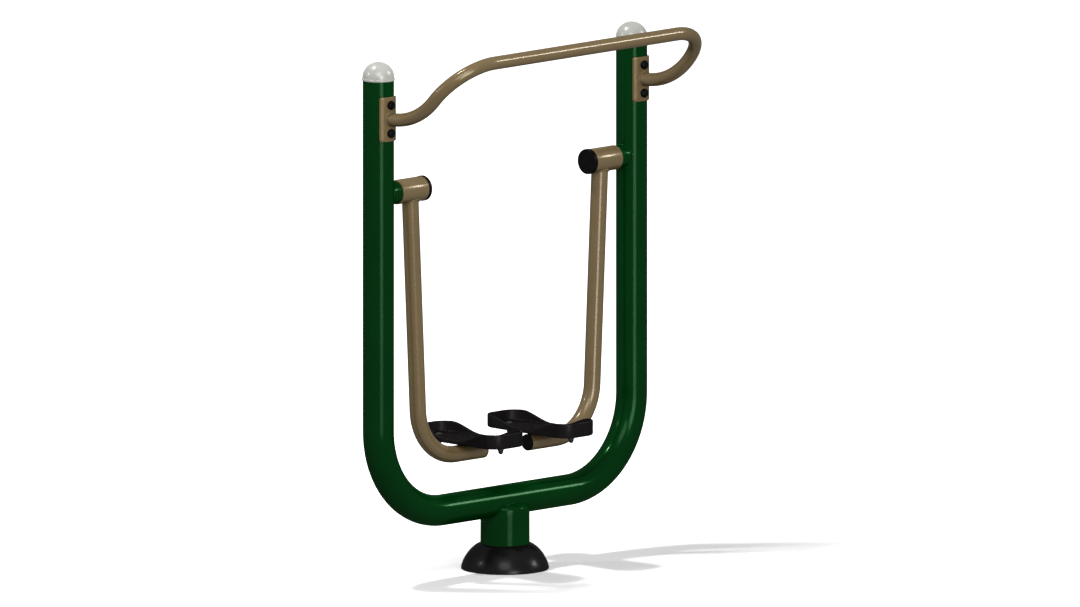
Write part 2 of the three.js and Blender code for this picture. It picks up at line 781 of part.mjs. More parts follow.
// Push-in cap that closes the housing's inner end
function housingCap() {
  const faceX = HOUSING_INNER_X - SEAT_GAP - END_CAP_THICKNESS;
  const seatX = HOUSING_INNER_X - SEAT_GAP;
  const skirt = HOUSING_BORE_RADIUS - SEAT_GAP;
  const skirtEnd = HOUSING_INNER_X + END_CAP_SKIRT;
  const roundX = faceX + END_CAP_ROUND;
  const edge = quarterCurve(HOUSING_RADIUS, roundX, END_CAP_ROUND, -END_CAP_ROUND, INNER_STEPS);
  const profile = [[0, faceX], ...edge.reverse()];
  profile.push(
    [HOUSING_RADIUS, seatX],
    [skirt, seatX],
    [skirt, skirtEnd],
    [skirt - END_CAP_WALL, skirtEnd],
    [skirt - END_CAP_WALL, faceX + END_CAP_WALL],
    [0, faceX + END_CAP_WALL],
  );
  return turnedOnX(profile, HOUSING_SIDES);
}

// Swing arm: leans inwards from the housing, bends under the pedal and ends beyond its middle
function armCorner() {
  const lean = THREE.MathUtils.degToRad(ARM_LEAN_DEGREES);
  const drop = PIVOT_HEIGHT - ARM_AXIS_HEIGHT;
  return new THREE.Vector3(ARM_TOP_X - drop * Math.tan(lean), 0, -drop);
}

function swingArm() {
  const corner = armCorner();
  const section = tubeSection(ARM_RADIUS, THIN_TUBE_SIDES, ARM_BORE_RADIUS, THIN_BORE_SIDES);
  const tube = bentTube(section, [
    { at: new THREE.Vector3(ARM_TOP_X, 0, 0) },
    { at: corner, bend: ARM_BEND },
    { at: new THREE.Vector3(ARM_END_X, 0, corner.z) },
  ]);
  const cope = cutterOnX(
    HOUSING_RADIUS + SEAT_GAP,
    HOUSING_INNER_X - OVERRUN,
    HOUSING_OUTER_X + OVERRUN,
    DISC_SIDES,
  );
  return cut(tube, cope);
}

// Plug in the arm's open end, with a low dome outside
function armPlug() {
  const seatX = ARM_END_X - SEAT_GAP;
  const skirt = ARM_BORE_RADIUS - SEAT_GAP;
  const skirtEnd = ARM_END_X + PLUG_SKIRT;
  const hollow = skirt - PLUG_WALL;
  const profile = quarterCurve(ARM_RADIUS, seatX, ARM_RADIUS, -PLUG_DOME, CORNER_STEPS).reverse();
  profile.push(
    [skirt, seatX],
    [skirt, skirtEnd],
    [hollow, skirtEnd],
    [hollow, seatX],
    [0, seatX],
  );
  const plug = turnedOnX(profile, RING_SIDES);
  plug.translate(0, 0, armCorner().z);
  return plug;
}

// Flat bar under a pedal, centred on the pedal
function boltPlaces() {
  return [PEDAL_BOLT_SPACING / 2, -PEDAL_BOLT_SPACING / 2];
}

function pedalBracket() {
  const shape = roundedRectangle(BRACKET_WIDTH, BRACKET_LENGTH, BRACKET_CORNER, CORNER_STEPS);
  const bar = slab(shape, BRACKET_BASE, BRACKET_THICKNESS);
  return cut(bar, ...pedalBoltHoles());
}

function pedalBoltHoles() {
  return boltPlaces().map((y) => {
    const hole = cutterOnZ(
      PEDAL_BOLT / 2 + SEAT_GAP,
      BRACKET_BASE - OVERRUN,
      PEDAL_FLOOR_TOP + TOE_RIM,
      SMALL_SIDES,
    );
    hole.translate(0, y, 0);
    return hole;
  });
}

// Foot pedal: a moulded tray whose rim sinks to the waist between a heel and a toe guard
function rimHeight(y) {
  const toe = y < 0;
  const rise = toe ? TOE_RISE_LENGTH : HEEL_RISE_LENGTH;
  const top = toe ? TOE_RIM : HEEL_RIM;
  const share = THREE.MathUtils.smoothstep(Math.abs(y) - WAIST_HALF_LENGTH, 0, rise);
  return WAIST_RIM + (top - WAIST_RIM) * share;
}

function rimCut() {
  const reach = PEDAL_LENGTH / 2 + OVERRUN;
  const ceiling = TOE_RIM + 2 * PEDAL_EDGE_ROUND + OVERRUN;
  const points = [new THREE.Vector2(reach, ceiling), new THREE.Vector2(-reach, ceiling)];
  const stations = [-reach];
  for (let step = 0; step <= RIM_STEPS; step += 1) {
    stations.push(-WAIST_HALF_LENGTH - TOE_RISE_LENGTH * (1 - step / RIM_STEPS));
  }
  for (let step = 0; step <= RIM_STEPS; step += 1) {
    stations.push(WAIST_HALF_LENGTH + HEEL_RISE_LENGTH * (step / RIM_STEPS));
  }
  stations.push(reach);
  for (const y of stations) points.push(new THREE.Vector2(y, rimHeight(y)));
  const prism = slab(new THREE.Shape(points), -PEDAL_WIDTH, 2 * PEDAL_WIDTH);
  prism.rotateX(Math.PI / 2);
  prism.rotateZ(Math.PI / 2);
  prism.translate(0, 0, PEDAL_BASE);
  return prism;
}

function footPedal() {
  const shell = new THREE.ExtrudeGeometry(
    roundedRectangle(PEDAL_WIDTH, PEDAL_LENGTH, PEDAL_CORNER, RIM_STEPS),
    {
      depth: TOE_RIM,
      bevelEnabled: true,
      bevelThickness: PEDAL_EDGE_ROUND,
      bevelSize: PEDAL_EDGE_ROUND,
      bevelOffset: -PEDAL_EDGE_ROUND,
      bevelSegments: EDGE_STEPS,
    },
  );
  shell.translate(0, 0, PEDAL_BASE + PEDAL_EDGE_ROUND);
  const room = slab(
    roundedRectangle(
      PEDAL_WIDTH - 2 * PEDAL_WALL,
      PEDAL_LENGTH - 2 * PEDAL_WALL,
      PEDAL_CORNER - PEDAL_WALL,
      RIM_STEPS,
    ),
    PEDAL_FLOOR_TOP,
    TOE_RIM + OVERRUN,
  );
  const tray = cut(shell, rimCut(), room);
  return cut(join(tray, ...treadBars()), ...pedalBoltHoles());
}

// Raised anti-slip bars across the tray, as many as fit between the two bolts
function treadBars() {
  const bars = [];
  const width = PEDAL_WIDTH - 2 * TREAD_SIDE_ROOM;
  const room = PEDAL_BOLT_SPACING - PEDAL_BOLT_HEAD - TREAD_WIDTH - 2 * TREAD_BOLT_ROOM;
  const last = Math.floor(room / TREAD_PITCH);
  for (let i = 0; i <= last; i += 1) {
    const place = TREAD_PITCH * (i - last / 2);
    const shape = roundedRectangle(width, TREAD_WIDTH, TREAD_WIDTH / 2, EDGE_STEPS);
    const bar = slab(shape, PEDAL_FLOOR_TOP - TREAD_HEIGHT, 2 * TREAD_HEIGHT);
    bar.translate(0, place, 0);
    bars.push(bar);
  }
  return bars;
}

// Pedal bolt: round head on the tray's floor, shank down through pedal and bracket
function pedalNutTop() {
  return BRACKET_BASE - SEAT_GAP;
}

function pedalBoltEnd() {
  return pedalNutTop() - PEDAL_BOLT * HEX_HEIGHT_SHARE - PEDAL_BOLT_TAIL;
}

function pedalBolt() {
  const seat = PEDAL_FLOOR_TOP + SEAT_GAP;
  const radius = PEDAL_BOLT / 2;
  const tail = pedalBoltEnd();
  const head = PEDAL_BOLT_HEAD / 2;
  const profile = [
    [0, tail],
    [radius, tail],
    [radius, seat],
    ...quarterCurve(head, seat, head, PEDAL_BOLT_HEAD_HEIGHT, INNER_STEPS),
  ];
  return turned(profile, SMALL_SIDES);
}

// Dome nut that covers the bolt's end below the bracket
function pedalNut() {
  const top = pedalNutTop();
  const base = top - PEDAL_BOLT * HEX_HEIGHT_SHARE;
  const radius = PEDAL_BOLT * NUT_DOME_RADIUS_SHARE;
  const roundTop = base - PEDAL_BOLT * NUT_DOME_HEIGHT_SHARE + radius;
  const middle = (base + top) / 2;
  const profile = quarterCurve(radius, roundTop, radius, -radius, CORNER_STEPS).reverse();
  profile.push([radius, middle], [0, middle]);
  const nut = join(
    hexBar(PEDAL_BOLT * HEX_ACROSS_SHARE, base, top),
    turned(profile, RING_SIDES),
  );
  const bore = cutterOnZ(
    PEDAL_BOLT / 2 + SEAT_GAP,
    pedalBoltEnd() - SEAT_GAP,
    top + OVERRUN,
    SMALL_SIDES,
  );
  return cut(nut, bore);
}

// Assembly
function piece(name, geometry, finish) {
  const mesh = new THREE.Mesh(geometry, new THREE.MeshStandardMaterial(finish));
  mesh.name = name;
  return mesh;
}

function group(pieces) {
  const set = new THREE.Group();
  set.add(...pieces);
  return set;
}

function foot() {
  return group([
    piece('base_flange', anchorFlange(), GREEN),
    piece('pedestal', pedestal(), GREEN),
    piece('base_cover', baseCover(), BLACK),
  ]);
}

// What stands on one post, local to the post's axis
function postFittings(side) {
  const cap = piece(`${side}_post_cap`, postCap(), PEARL);
  cap.position.z = POST_TOP;
  const plate = piece(`${side}_saddle_plate`, saddlePlate(), TAN);
  plate.position.z = HANDLE_ROOT_HEIGHT;
  const pieces = [cap, plate];
  boltHeights().forEach((z, index) => {
    const level = ['upper', 'lower'][index];
    const bolt = piece(`${side}_${level}_plate_bolt`, plateBolt(), ZINC);
    const cover = piece(`${side}_${level}_bolt_cover`, boltCover(), BLACK);
    bolt.position.z = z;
    cover.position.z = z;
    pieces.push(bolt, cover);
  });
  return group(pieces);
}

function bearing(side, place, start) {
  return [
    piece(`${side}_${place}_inner_ring`, bearingInnerRing(start), STEEL),
    piece(`${side}_${place}_outer_ring`, bearingOuterRing(start), STEEL),
    piece(`${side}_${place}_ball_cage`, ballCage(start), STEEL),
  ];
}

// Everything on one pivot's axis, and the arm that hangs from it
function pivot(side) {
  return group([
    piece(`${side}_axle_boss`, axleBoss(), GREEN),
    piece(`${side}_axle`, axle(), STEEL),
    piece(`${side}_axle_nut`, axleNut(), ZINC),
    ...bearing(side, 'outboard', OUTBOARD_BEARING_X),
    ...bearing(side, 'inboard', INBOARD_BEARING_X),
    piece(`${side}_lug_sleeve`, lugSleeve(), STEEL),
    piece(`${side}_key_sleeve`, keySleeve(), STEEL),
    piece(`${side}_bearing_housing`, bearingHousing(), TAN),
    piece(`${side}_housing_cap`, housingCap(), BLACK),
    piece(`${side}_swing_arm`, swingArm(), TAN),
    piece(`${side}_arm_plug`, armPlug(), BLACK),
  ]);
}

// Pedal with its bracket, bolts and nuts, local to the pedal's middle
function pedalSet(side) {
  const pieces = [
    piece(`${side}_pedal_bracket`, pedalBracket(), TAN),
    piece(`${side}_foot_pedal`, footPedal(), BLACK),
  ];
  boltPlaces().forEach((y, index) => {
    const place = ['heel', 'toe'][index];
    const bolt = piece(`${side}_${place}_pedal_bolt`, pedalBolt(), BLACK);
    const nut = piece(`${side}_${place}_pedal_nut`, pedalNut(), BLACK);
    bolt.position.y = y;
    nut.position.y = y;
    pieces.push(bolt, nut);
  });
  return group(pieces);
}

const airWalker = new THREE.Group();
airWalker.add(foot());
airWalker.add(piece('u_frame', uFrame(), GREEN));
airWalker.add(piece('handlebar', handlebar(), TAN));

for (const [side, sign, turn] of [['left', -1, Math.PI], ['right', 1, 0]]) {
  const fittings = postFittings(side);
  fittings.position.x = sign * POST_X;
  const pivotSet = pivot(side);
  pivotSet.position.z = PIVOT_HEIGHT;
  pivotSet.rotation.z = turn;
  const pedals = pedalSet(side);
  pedals.position.x = (sign * PEDAL_SPACING) / 2;
  airWalker.add(fittings, pivotSet, pedals);
}

export default airWalker;
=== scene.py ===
"""Looks of the outdoor air walker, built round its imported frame.

Lengths are metres. +Z is up and -Y is the front, where the handlebar stands out. Left is -X.
Pieces that come in pairs are made for the right side and mirrored for the left one.
"""

import json
import math

import bmesh
import bpy
from mathutils import Matrix, Vector


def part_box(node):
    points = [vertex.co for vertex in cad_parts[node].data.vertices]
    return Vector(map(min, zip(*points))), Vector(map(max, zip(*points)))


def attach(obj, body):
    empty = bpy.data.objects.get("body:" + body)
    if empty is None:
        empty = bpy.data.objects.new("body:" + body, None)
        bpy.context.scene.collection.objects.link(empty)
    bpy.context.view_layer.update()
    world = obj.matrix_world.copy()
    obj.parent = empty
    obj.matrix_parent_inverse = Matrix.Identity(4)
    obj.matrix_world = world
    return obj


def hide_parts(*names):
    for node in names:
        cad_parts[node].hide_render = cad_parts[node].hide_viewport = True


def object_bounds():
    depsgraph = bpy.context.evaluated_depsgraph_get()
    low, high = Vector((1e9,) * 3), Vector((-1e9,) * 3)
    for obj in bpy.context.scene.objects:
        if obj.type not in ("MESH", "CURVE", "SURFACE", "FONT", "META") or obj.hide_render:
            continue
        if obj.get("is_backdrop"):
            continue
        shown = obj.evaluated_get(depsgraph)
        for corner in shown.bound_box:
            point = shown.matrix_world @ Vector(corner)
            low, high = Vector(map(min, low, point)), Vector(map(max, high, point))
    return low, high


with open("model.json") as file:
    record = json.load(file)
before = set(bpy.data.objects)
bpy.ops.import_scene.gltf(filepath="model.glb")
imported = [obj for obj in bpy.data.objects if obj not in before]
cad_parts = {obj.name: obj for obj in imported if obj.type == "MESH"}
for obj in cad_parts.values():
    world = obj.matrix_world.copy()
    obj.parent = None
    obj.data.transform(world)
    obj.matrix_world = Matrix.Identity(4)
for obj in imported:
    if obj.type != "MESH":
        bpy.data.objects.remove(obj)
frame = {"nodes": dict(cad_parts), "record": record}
cad_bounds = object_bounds()

SIDES = {"right": 1, "left": -1}
ENDS = {"heel": 1, "toe": -1}

# Places read from the frame
frame_low, frame_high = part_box("u_frame")
POST_RADIUS = frame_high.y
POST_X = frame_high.x - POST_RADIUS
POST_TOP = frame_high.z
BAR_Z = frame_low.z + POST_RADIUS

housing_low, housing_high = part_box("right_bearing_housing")
PIVOT_Z = (housing_low.z + housing_high.z) / 2
HOUSING_RADIUS = (housing_high.z - housing_low.z) / 2
HOUSING_INNER_X = housing_low.x
HOUSING_OUTER_X = housing_high.x
housing_cap_low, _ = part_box("right_housing_cap")
boss_low, boss_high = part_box("right_axle_boss")
BOSS_RADIUS = (boss_high.z - boss_low.z) / 2

plug_low, plug_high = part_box("right_arm_plug")
ARM_RADIUS = (plug_high.z - plug_low.z) / 2
ARM_Z = (plug_low.z + plug_high.z) / 2

cap_low, cap_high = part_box("right_post_cap")
CAP_RADIUS = cap_high.y
plate_low, plate_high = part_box("right_saddle_plate")
ROOT_Z = (plate_low.z + plate_high.z) / 2
PLATE_HEIGHT = plate_high.z - plate_low.z
PLATE_OUTER = -plate_low.y
bolt_cover_low, bolt_cover_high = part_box("right_upper_bolt_cover")
BOLT_RISE = (bolt_cover_low.z + bolt_cover_high.z) / 2 - ROOT_Z

pedestal_low, pedestal_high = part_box("pedestal")
PEDESTAL_RADIUS = pedestal_high.x
_, cover_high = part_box("base_cover")
COVER_RADIUS = cover_high.x
COVER_HEIGHT = cover_high.z

tray_low, tray_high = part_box("right_foot_pedal")
TRAY_X = (tray_low.x + tray_high.x) / 2
TRAY_WIDTH = tray_high.x - tray_low.x
TRAY_LENGTH = tray_high.y - tray_low.y
TRAY_Z = tray_low.z
bracket_low, bracket_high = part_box("right_pedal_bracket")
heel_bolt_low, heel_bolt_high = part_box("right_heel_pedal_bolt")
PEDAL_BOLT_Y = (heel_bolt_low.y + heel_bolt_high.y) / 2

# Sizes that the frame's boxes don't give, as in the part's own source
FRAME_BEND = 0.254
FRAME_WALL = 0.0035
HANDLE_RADIUS = 0.019
HANDLE_WALL = 0.0025
HANDLE_ROOT_LENGTH = 0.0055
HANDLE_RISE_BEND = 0.232
HANDLE_RISE = math.radians(46.6)
HANDLE_CORNER_BEND = 0.1425
ARM_LEAN = math.radians(2.86)
ARM_BEND = 0.148
ARM_WALL = 0.003
ARM_SEAT_SHARE = 0.46
PLATE_THICKNESS = 0.005
PLATE_WRAP = math.radians(42)
PLATE_CORNER = 0.008
BOLT_COVER_RADIUS = 0.013
BOLT_COVER_RISE = 0.0095
PEDESTAL_WALL = 0.005
SHOULDER_RISE = 0.020
SHOULDER_DROP = 0.004
COVER_WALL = 0.003
COVER_FULLNESS = 1.5
CAP_WALL = 0.003
CAP_BRIM_HEIGHT = 0.006
CAP_BRIM_STEP = 0.0015
HOUSING_BORE = 0.031
HOUSING_LIP_BORE = 0.028
HOUSING_LIP = 0.003
BOSS_BORE = 0.015
PLUG_SKIRT = 0.012
ARM_END_X = plug_high.x - PLUG_SKIRT
TRAY_CORNER = 0.050
TRAY_WALL = 0.007
TRAY_FLOOR = 0.007
HEEL_RIM = 0.037
TOE_RIM = 0.042
WAIST_RIM = 0.0115
WAIST_HALF_LENGTH = 0.020
HEEL_RISE_LENGTH = 0.120
TOE_RISE_LENGTH = 0.115
TREAD_PITCH = 0.021
TREAD_WIDTH = 0.008
TREAD_HEIGHT = 0.0025
TREAD_COUNT = 11
TREAD_LENGTH = 0.112
BRACKET_CORNER = 0.010
PEDAL_BOLT_RADIUS = 0.005
PEDAL_BOLT_HEAD_RADIUS = 0.010
PEDAL_BOLT_HEAD_HEIGHT = 0.0045
PEDAL_NUT_FLAT = 0.008125
PEDAL_NUT_HEIGHT = 0.008
NUT_DOME_RADIUS = 0.0075
SEAT_GAP = 0.0003

# Smaller forms: roundings, edges, skirts, a lap, a dimple, treads and weld beads
HAIR_ROUND = 0.0004
SKIRT_ROUND = 0.0005
FINE_ROUND = 0.0006
EDGE_ROUND = 0.0010
HOUSING_ROUND = 0.0016
CAP_BRIM_ROUNDS = (0.0008, 0.0012)
CAP_DOME_STEP = 0.002
COVER_FOOT = 0.0025
PLATE_EDGE = 0.0012
BRACKET_EDGE = 0.0008
BOSS_EDGE = 0.0012
BOSS_OVERRUN = 0.001
BOLT_COVER_RIM = 0.003
DIMPLE_RADIUS = 0.004
DIMPLE_SLOPE = 0.001
DIMPLE_DEPTH = 0.0008
HOUSING_CAP_LAP = 0.006
HOUSING_CAP_WALL = 0.0010
HOUSING_CAP_PLAY = 0.0001
HOUSING_CAP_ROUND = 0.0030
HOUSING_CAP_SKIRT = 0.010
HOUSING_CAP_SKIRT_WALL = 0.003
HOUSING_CAP_FLOOR = 0.004
PLUG_EDGE = 0.0012
PLUG_FACE_ROUND = 0.004
PLUG_SKIRT_WALL = 0.0025
BOLT_HEAD_RIM = 0.0006
NUT_CHAMFER = 0.0011
NUT_CHAMFER_SHARE = 0.97
NUT_NECK = 0.0003
TRAY_SOLE_ROUND = 0.004
TRAY_RIM_FLAT = (0.0024, 0.0044)
TRAY_RIM_DROP = 0.0028
TRAY_FILLET_RUN = 0.0036
TRAY_FILLET_RISE = 0.0049
TREAD_SINK = 0.001
TREAD_ROUND_RUN = 0.0020
TREAD_ROUND_DROP = 0.0014
WELD_RADIUS = 0.0032
WELD_PITCH = 0.0045
WELD_RIPPLE_SHARE = 0.16
BRACKET_WELD_MARGIN = 0.004
BRACKET_WELD_PLACE_SHARE = 0.52
BRACKET_WELD_LIFT_SHARE = 0.3

# Along the sunk face of the housing cap: radius, depth below the rim, rounding
HOUSING_CAP_FACE = (
    (0, 0.0004, 0),
    (0.020, 0.0008, 0.004),
    (0.027, 0.0011, EDGE_ROUND),
    (0.0285, 0, EDGE_ROUND),
)

# Rings of a flat face on its way to the middle line, as shares of half its width
PLATE_RING_SHARES = (1.0, 0.8, 0.6, 0.4, 0.2)
TRAY_SOLE_SHARES = (1.0, 0.7, 0.4, 0.15)
TRAY_FLOOR_SHARES = (0.4, 0.7, 1.0)

# Fineness of the meshes; a pair is for the outer and inner skin, or for corners and sides
ROUND_SIDES = 72
COVER_SIDES = 96
SMALL_SIDES = 40
NUT_SIDES = 60
WELD_SIDES = 10
WELD_POINTS = 240
BRACKET_WELD_POINTS = 60
FILLET_STEPS = 4
EDGE_STEPS = 2
RIM_STEPS = 3
DOME_STEPS = 12
BOLT_COVER_STEPS = 8
CAP_STEPS = (24, 16)
COVER_STEPS = (32, 24)
PEDESTAL_STEPS = 28
PEDESTAL_WELD_STEPS = 4
TREAD_STEPS = (6, 2)
HALVINGS = 40
BEND_STEP = math.radians(3)
SHARP_ANGLE = math.radians(38)
MERGE_DISTANCE = 1e-6
LEAST_EDGE = 1e-7

# Directions that a turned piece's own axis can take
UPWARDS = Matrix.Identity(4)
OUTWARDS = Matrix.Rotation(math.pi / 2, 4, "Y")
FORWARDS = Matrix.Rotation(math.pi / 2, 4, "X")
X_AXIS = Vector((1, 0, 0))
Y_AXIS = Vector((0, 1, 0))
Z_AXIS = Vector((0, 0, 1))

POST_FOOT = X_AXIS * POST_X
PIVOT_MIDDLE = Z_AXIS * PIVOT_Z


# Materials

# A high index at a low weight keeps the highlights bright and the rims of a tube dark
COAT_INDEX = 2.2
PLAIN_INDEX = 1.5
DARK_TINT = (0.2, 0.2, 0.2)


class Finish:
    """A node material round one Principled shader."""

    def __init__(self, name, **levels):
        self.material = bpy.data.materials.new(name)
        self.material.use_nodes = True
        self.tree = self.material.node_tree
        self.shader = self.tree.nodes["Principled BSDF"]
        for socket, value in levels.items():
            self.shader.inputs[socket.replace("_", " ")].default_value = value
        self.place = self.add("ShaderNodeTexCoord").outputs["Object"]

    def add(self, kind, inputs=None, **settings):
        made = self.tree.nodes.new(kind)
        for key, value in settings.items():
            setattr(made, key, value)
        for socket, value in (inputs or {}).items():
            self.feed(made.inputs[socket], value)
        return made

    def feed(self, socket, value):
        if isinstance(value, bpy.types.NodeSocket):
            self.tree.links.new(value, socket)
        else:
            socket.default_value = value

    def noise(self, scale, detail, place=None):
        inputs = {"Vector": place or self.place, "Scale": scale, "Detail": detail}
        return self.add("ShaderNodeTexNoise", inputs).outputs["Fac"]

    def cells(self, scale, feature="F1"):
        inputs = {"Vector": self.place, "Scale": scale}
        return self.add("ShaderNodeTexVoronoi", inputs, feature=feature)

    def stretched(self, along_x, along_y, along_z):
        inputs = {"Vector": self.place, "Scale": (along_x, along_y, along_z)}
        return self.add("ShaderNodeMapping", inputs).outputs["Vector"]

    def span(self, value, low, high, start=0.3, end=0.7):
        """The value mapped to low and high; noise mostly lies between 0.3 and 0.7."""
        inputs = {"Value": value, "From Min": start, "From Max": end, "To Min": low, "To Max": high}
        return self.add("ShaderNodeMapRange", inputs).outputs["Result"]

    def blend(self, share, first, second):
        made = self.add("ShaderNodeMix", data_type="RGBA")
        self.feed(made.inputs["Factor"], share)
        self.feed(made.inputs["A"], first)
        self.feed(made.inputs["B"], second)
        return made.outputs["Result"]

    def drift(self, scale, detail, first, second):
        """Slow change between two colours."""
        return self.blend(self.span(self.noise(scale, detail), 0.0, 1.0), first, second)

    def relief(self, height, distance, strength, under=None):
        inputs = {"Height": height, "Distance": distance, "Strength": strength}
        if under:
            inputs["Normal"] = under
        return self.add("ShaderNodeBump", inputs).outputs["Normal"]

    def wear(self, **sockets):
        for socket, value in sockets.items():
            self.feed(self.shader.inputs[socket.replace("_", " ")], value)
        return self.material


def tone(red, green, blue):
    """A colour given as 0 to 255 on screen."""
    levels = [channel / 255 for channel in (red, green, blue)]
    linear = [c / 12.92 if c <= 0.04045 else ((c + 0.055) / 1.055) ** 2.4 for c in levels]
    return (*linear, 1.0)


def coated(name, metallic, tint, weight, roughness, index=COAT_INDEX):
    """A finish whose highlights come from a thin clear coat alone."""
    return Finish(
        name,
        Metallic=metallic,
        Specular_IOR_Level=0.0,
        Specular_Tint=(*tint, 1),
        Coat_Weight=weight,
        Coat_IOR=index,
        Coat_Roughness=roughness,
    )


def green_enamel():
    """Dark green gloss powder coat: faint drifts of shade, sparse dust and a fine orange peel."""
    finish = coated("green_enamel", 0.2, (0.3, 0.5, 0.35), 0.017, 0.13)
    shade = finish.drift(5.0, 3.0, tone(0, 41, 9), tone(0, 47, 13))
    dust = finish.span(finish.noise(34.0, 6.0), 0.0, 0.04, 0.56, 0.80)
    colour = finish.blend(dust, shade, tone(36, 74, 42))
    roughness = finish.span(finish.noise(60.0, 5.0), 0.18, 0.25)
    peel = finish.relief(finish.noise(260.0, 1.5), 0.00010, 0.22)
    ripple = finish.relief(finish.noise(46.0, 1.0), 0.00050, 0.06, peel)
    return finish.wear(Base_Color=colour, Roughness=roughness, Normal=ripple)


def tan_coat(name, coat_weight):
    """Tan powder coat with a faint metallic fleck."""
    finish = coated(name, 0.15, (0.3, 0.28, 0.22), coat_weight, 0.19)
    shade = finish.drift(6.0, 3.0, tone(96, 81, 54), tone(101, 86, 59))
    fleck = finish.span(finish.cells(1500.0).outputs["Color"], 0.0, 0.05, 0.0, 1.0)
    colour = finish.blend(fleck, shade, tone(160, 140, 105))
    scuff = finish.span(finish.noise(42.0, 6.0), 0.0, 0.05, 0.55, 0.80)
    worn = finish.blend(scuff, colour, tone(82, 67, 46))
    roughness = finish.span(finish.noise(70.0, 5.0), 0.22, 0.30)
    peel = finish.relief(finish.noise(320.0, 1.5), 0.00010, 0.12)
    return finish.wear(Base_Color=worn, Roughness=roughness, Normal=peel)


def tan_enamel():
    """The tan coat, semi-gloss, of the tubes."""
    return tan_coat("tan_enamel", 0.11)


def plate_enamel():
    """The same coat, duller, on the saddle plates."""
    return tan_coat("plate_enamel", 0.03)


def cover_plastic():
    """Black satin moulded plastic with a spark-eroded skin."""
    finish = coated("cover_plastic", 0.4, DARK_TINT, 0.035, 0.24)
    colour = finish.drift(14.0, 4.0, tone(16, 16, 15), tone(23, 22, 22))
    roughness = finish.span(finish.noise(90.0, 5.0), 0.24, 0.32)
    skin = finish.relief(finish.noise(900.0, 2.0), 0.00008, 0.35)
    return finish.wear(Base_Color=colour, Roughness=roughness, Normal=skin)


def pedal_plastic():
    """Black moulded pedal with a leather grain, greyed a little where shoes rub."""
    finish = coated("pedal_plastic", 0.4, DARK_TINT, 0.04, 0.3, PLAIN_INDEX)
    rubbed = finish.span(finish.noise(55.0, 7.0), 0.0, 0.22, 0.52, 0.82)
    colour = finish.blend(rubbed, tone(21, 19, 20), tone(38, 35, 36))
    roughness = finish.span(finish.noise(80.0, 5.0), 0.34, 0.50)
    grain = finish.relief(finish.cells(420.0, "SMOOTH_F1").outputs["Distance"], 0.00025, 0.35)
    return finish.wear(Base_Color=colour, Roughness=roughness, Normal=grain)


def trim_plastic():
    """Black satin plastic of caps, plugs and bolt covers."""
    finish = coated("trim_plastic", 0.3, DARK_TINT, 0.06, 0.34, PLAIN_INDEX)
    colour = finish.drift(60.0, 5.0, tone(5, 4, 5), tone(12, 11, 12))
    roughness = finish.span(finish.noise(120.0, 4.0), 0.34, 0.46)
    skin = finish.relief(finish.noise(1100.0, 2.0), 0.00006, 0.35)
    return finish.wear(Base_Color=colour, Roughness=roughness, Normal=skin)


def pearl_plastic():
    """Pale grey glossy plastic with a slight pearl."""
    finish = Finish("pearl_plastic", Specular_IOR_Level=0.5)
    colour = finish.drift(22.0, 3.0, tone(147, 148, 142), tone(156, 157, 151))
    roughness = finish.span(finish.noise(90.0, 4.0), 0.26, 0.34)
    skin = finish.relief(finish.noise(70.0, 2.0), 0.0003, 0.06)
    return finish.wear(Base_Color=colour, Roughness=roughness, Normal=skin)


def zinc_steel():
    """Zinc plated fasteners with a spangled, slightly dull plating."""
    finish = Finish("zinc_steel", Metallic=1.0)
    spangle = finish.span(finish.cells(500.0).outputs["Color"], 0.0, 1.0, 0.0, 1.0)
    colour = finish.blend(spangle, tone(112, 114, 117), tone(140, 142, 143))
    roughness = finish.span(finish.noise(240.0, 5.0), 0.34, 0.50)
    skin = finish.relief(finish.noise(700.0, 3.0), 0.00006, 0.30)
    return finish.wear(Base_Color=colour, Roughness=roughness, Normal=skin)


def black_zinc():
    """Black plated bolts and dome nuts with a brown cast where the plating is thin."""
    finish = Finish("black_zinc", Metallic=0.6, Specular_IOR_Level=0.3)
    thin = finish.span(finish.noise(180.0, 6.0), 0.0, 0.5, 0.50, 0.80)
    colour = finish.blend(thin, tone(20, 20, 22), tone(58, 52, 48))
    roughness = finish.span(finish.noise(240.0, 5.0), 0.30, 0.44)
    skin = finish.relief(finish.noise(700.0, 3.0), 0.00006, 0.30)
    return finish.wear(Base_Color=colour, Roughness=roughness, Normal=skin)


def bearing_steel():
    """Ground steel: fine lines round the axle, which lies along X."""
    finish = Finish("bearing_steel", Metallic=1.0)
    lines = finish.noise(60.0, 4.0, finish.stretched(40.0, 1.0, 1.0))
    colour = finish.blend(finish.span(lines, 0.0, 1.0), tone(168, 171, 174), tone(198, 200, 202))
    roughness = finish.span(lines, 0.18, 0.32)
    ground = finish.relief(lines, 0.00005, 0.30)
    return finish.wear(Base_Color=colour, Roughness=roughness, Normal=ground)


FINISHES = {
    make.__name__: make()
    for make in (
        green_enamel,
        tan_enamel,
        plate_enamel,
        cover_plastic,
        pedal_plastic,
        trim_plastic,
        pearl_plastic,
        zinc_steel,
        black_zinc,
        bearing_steel,
    )
}


# Mesh tools

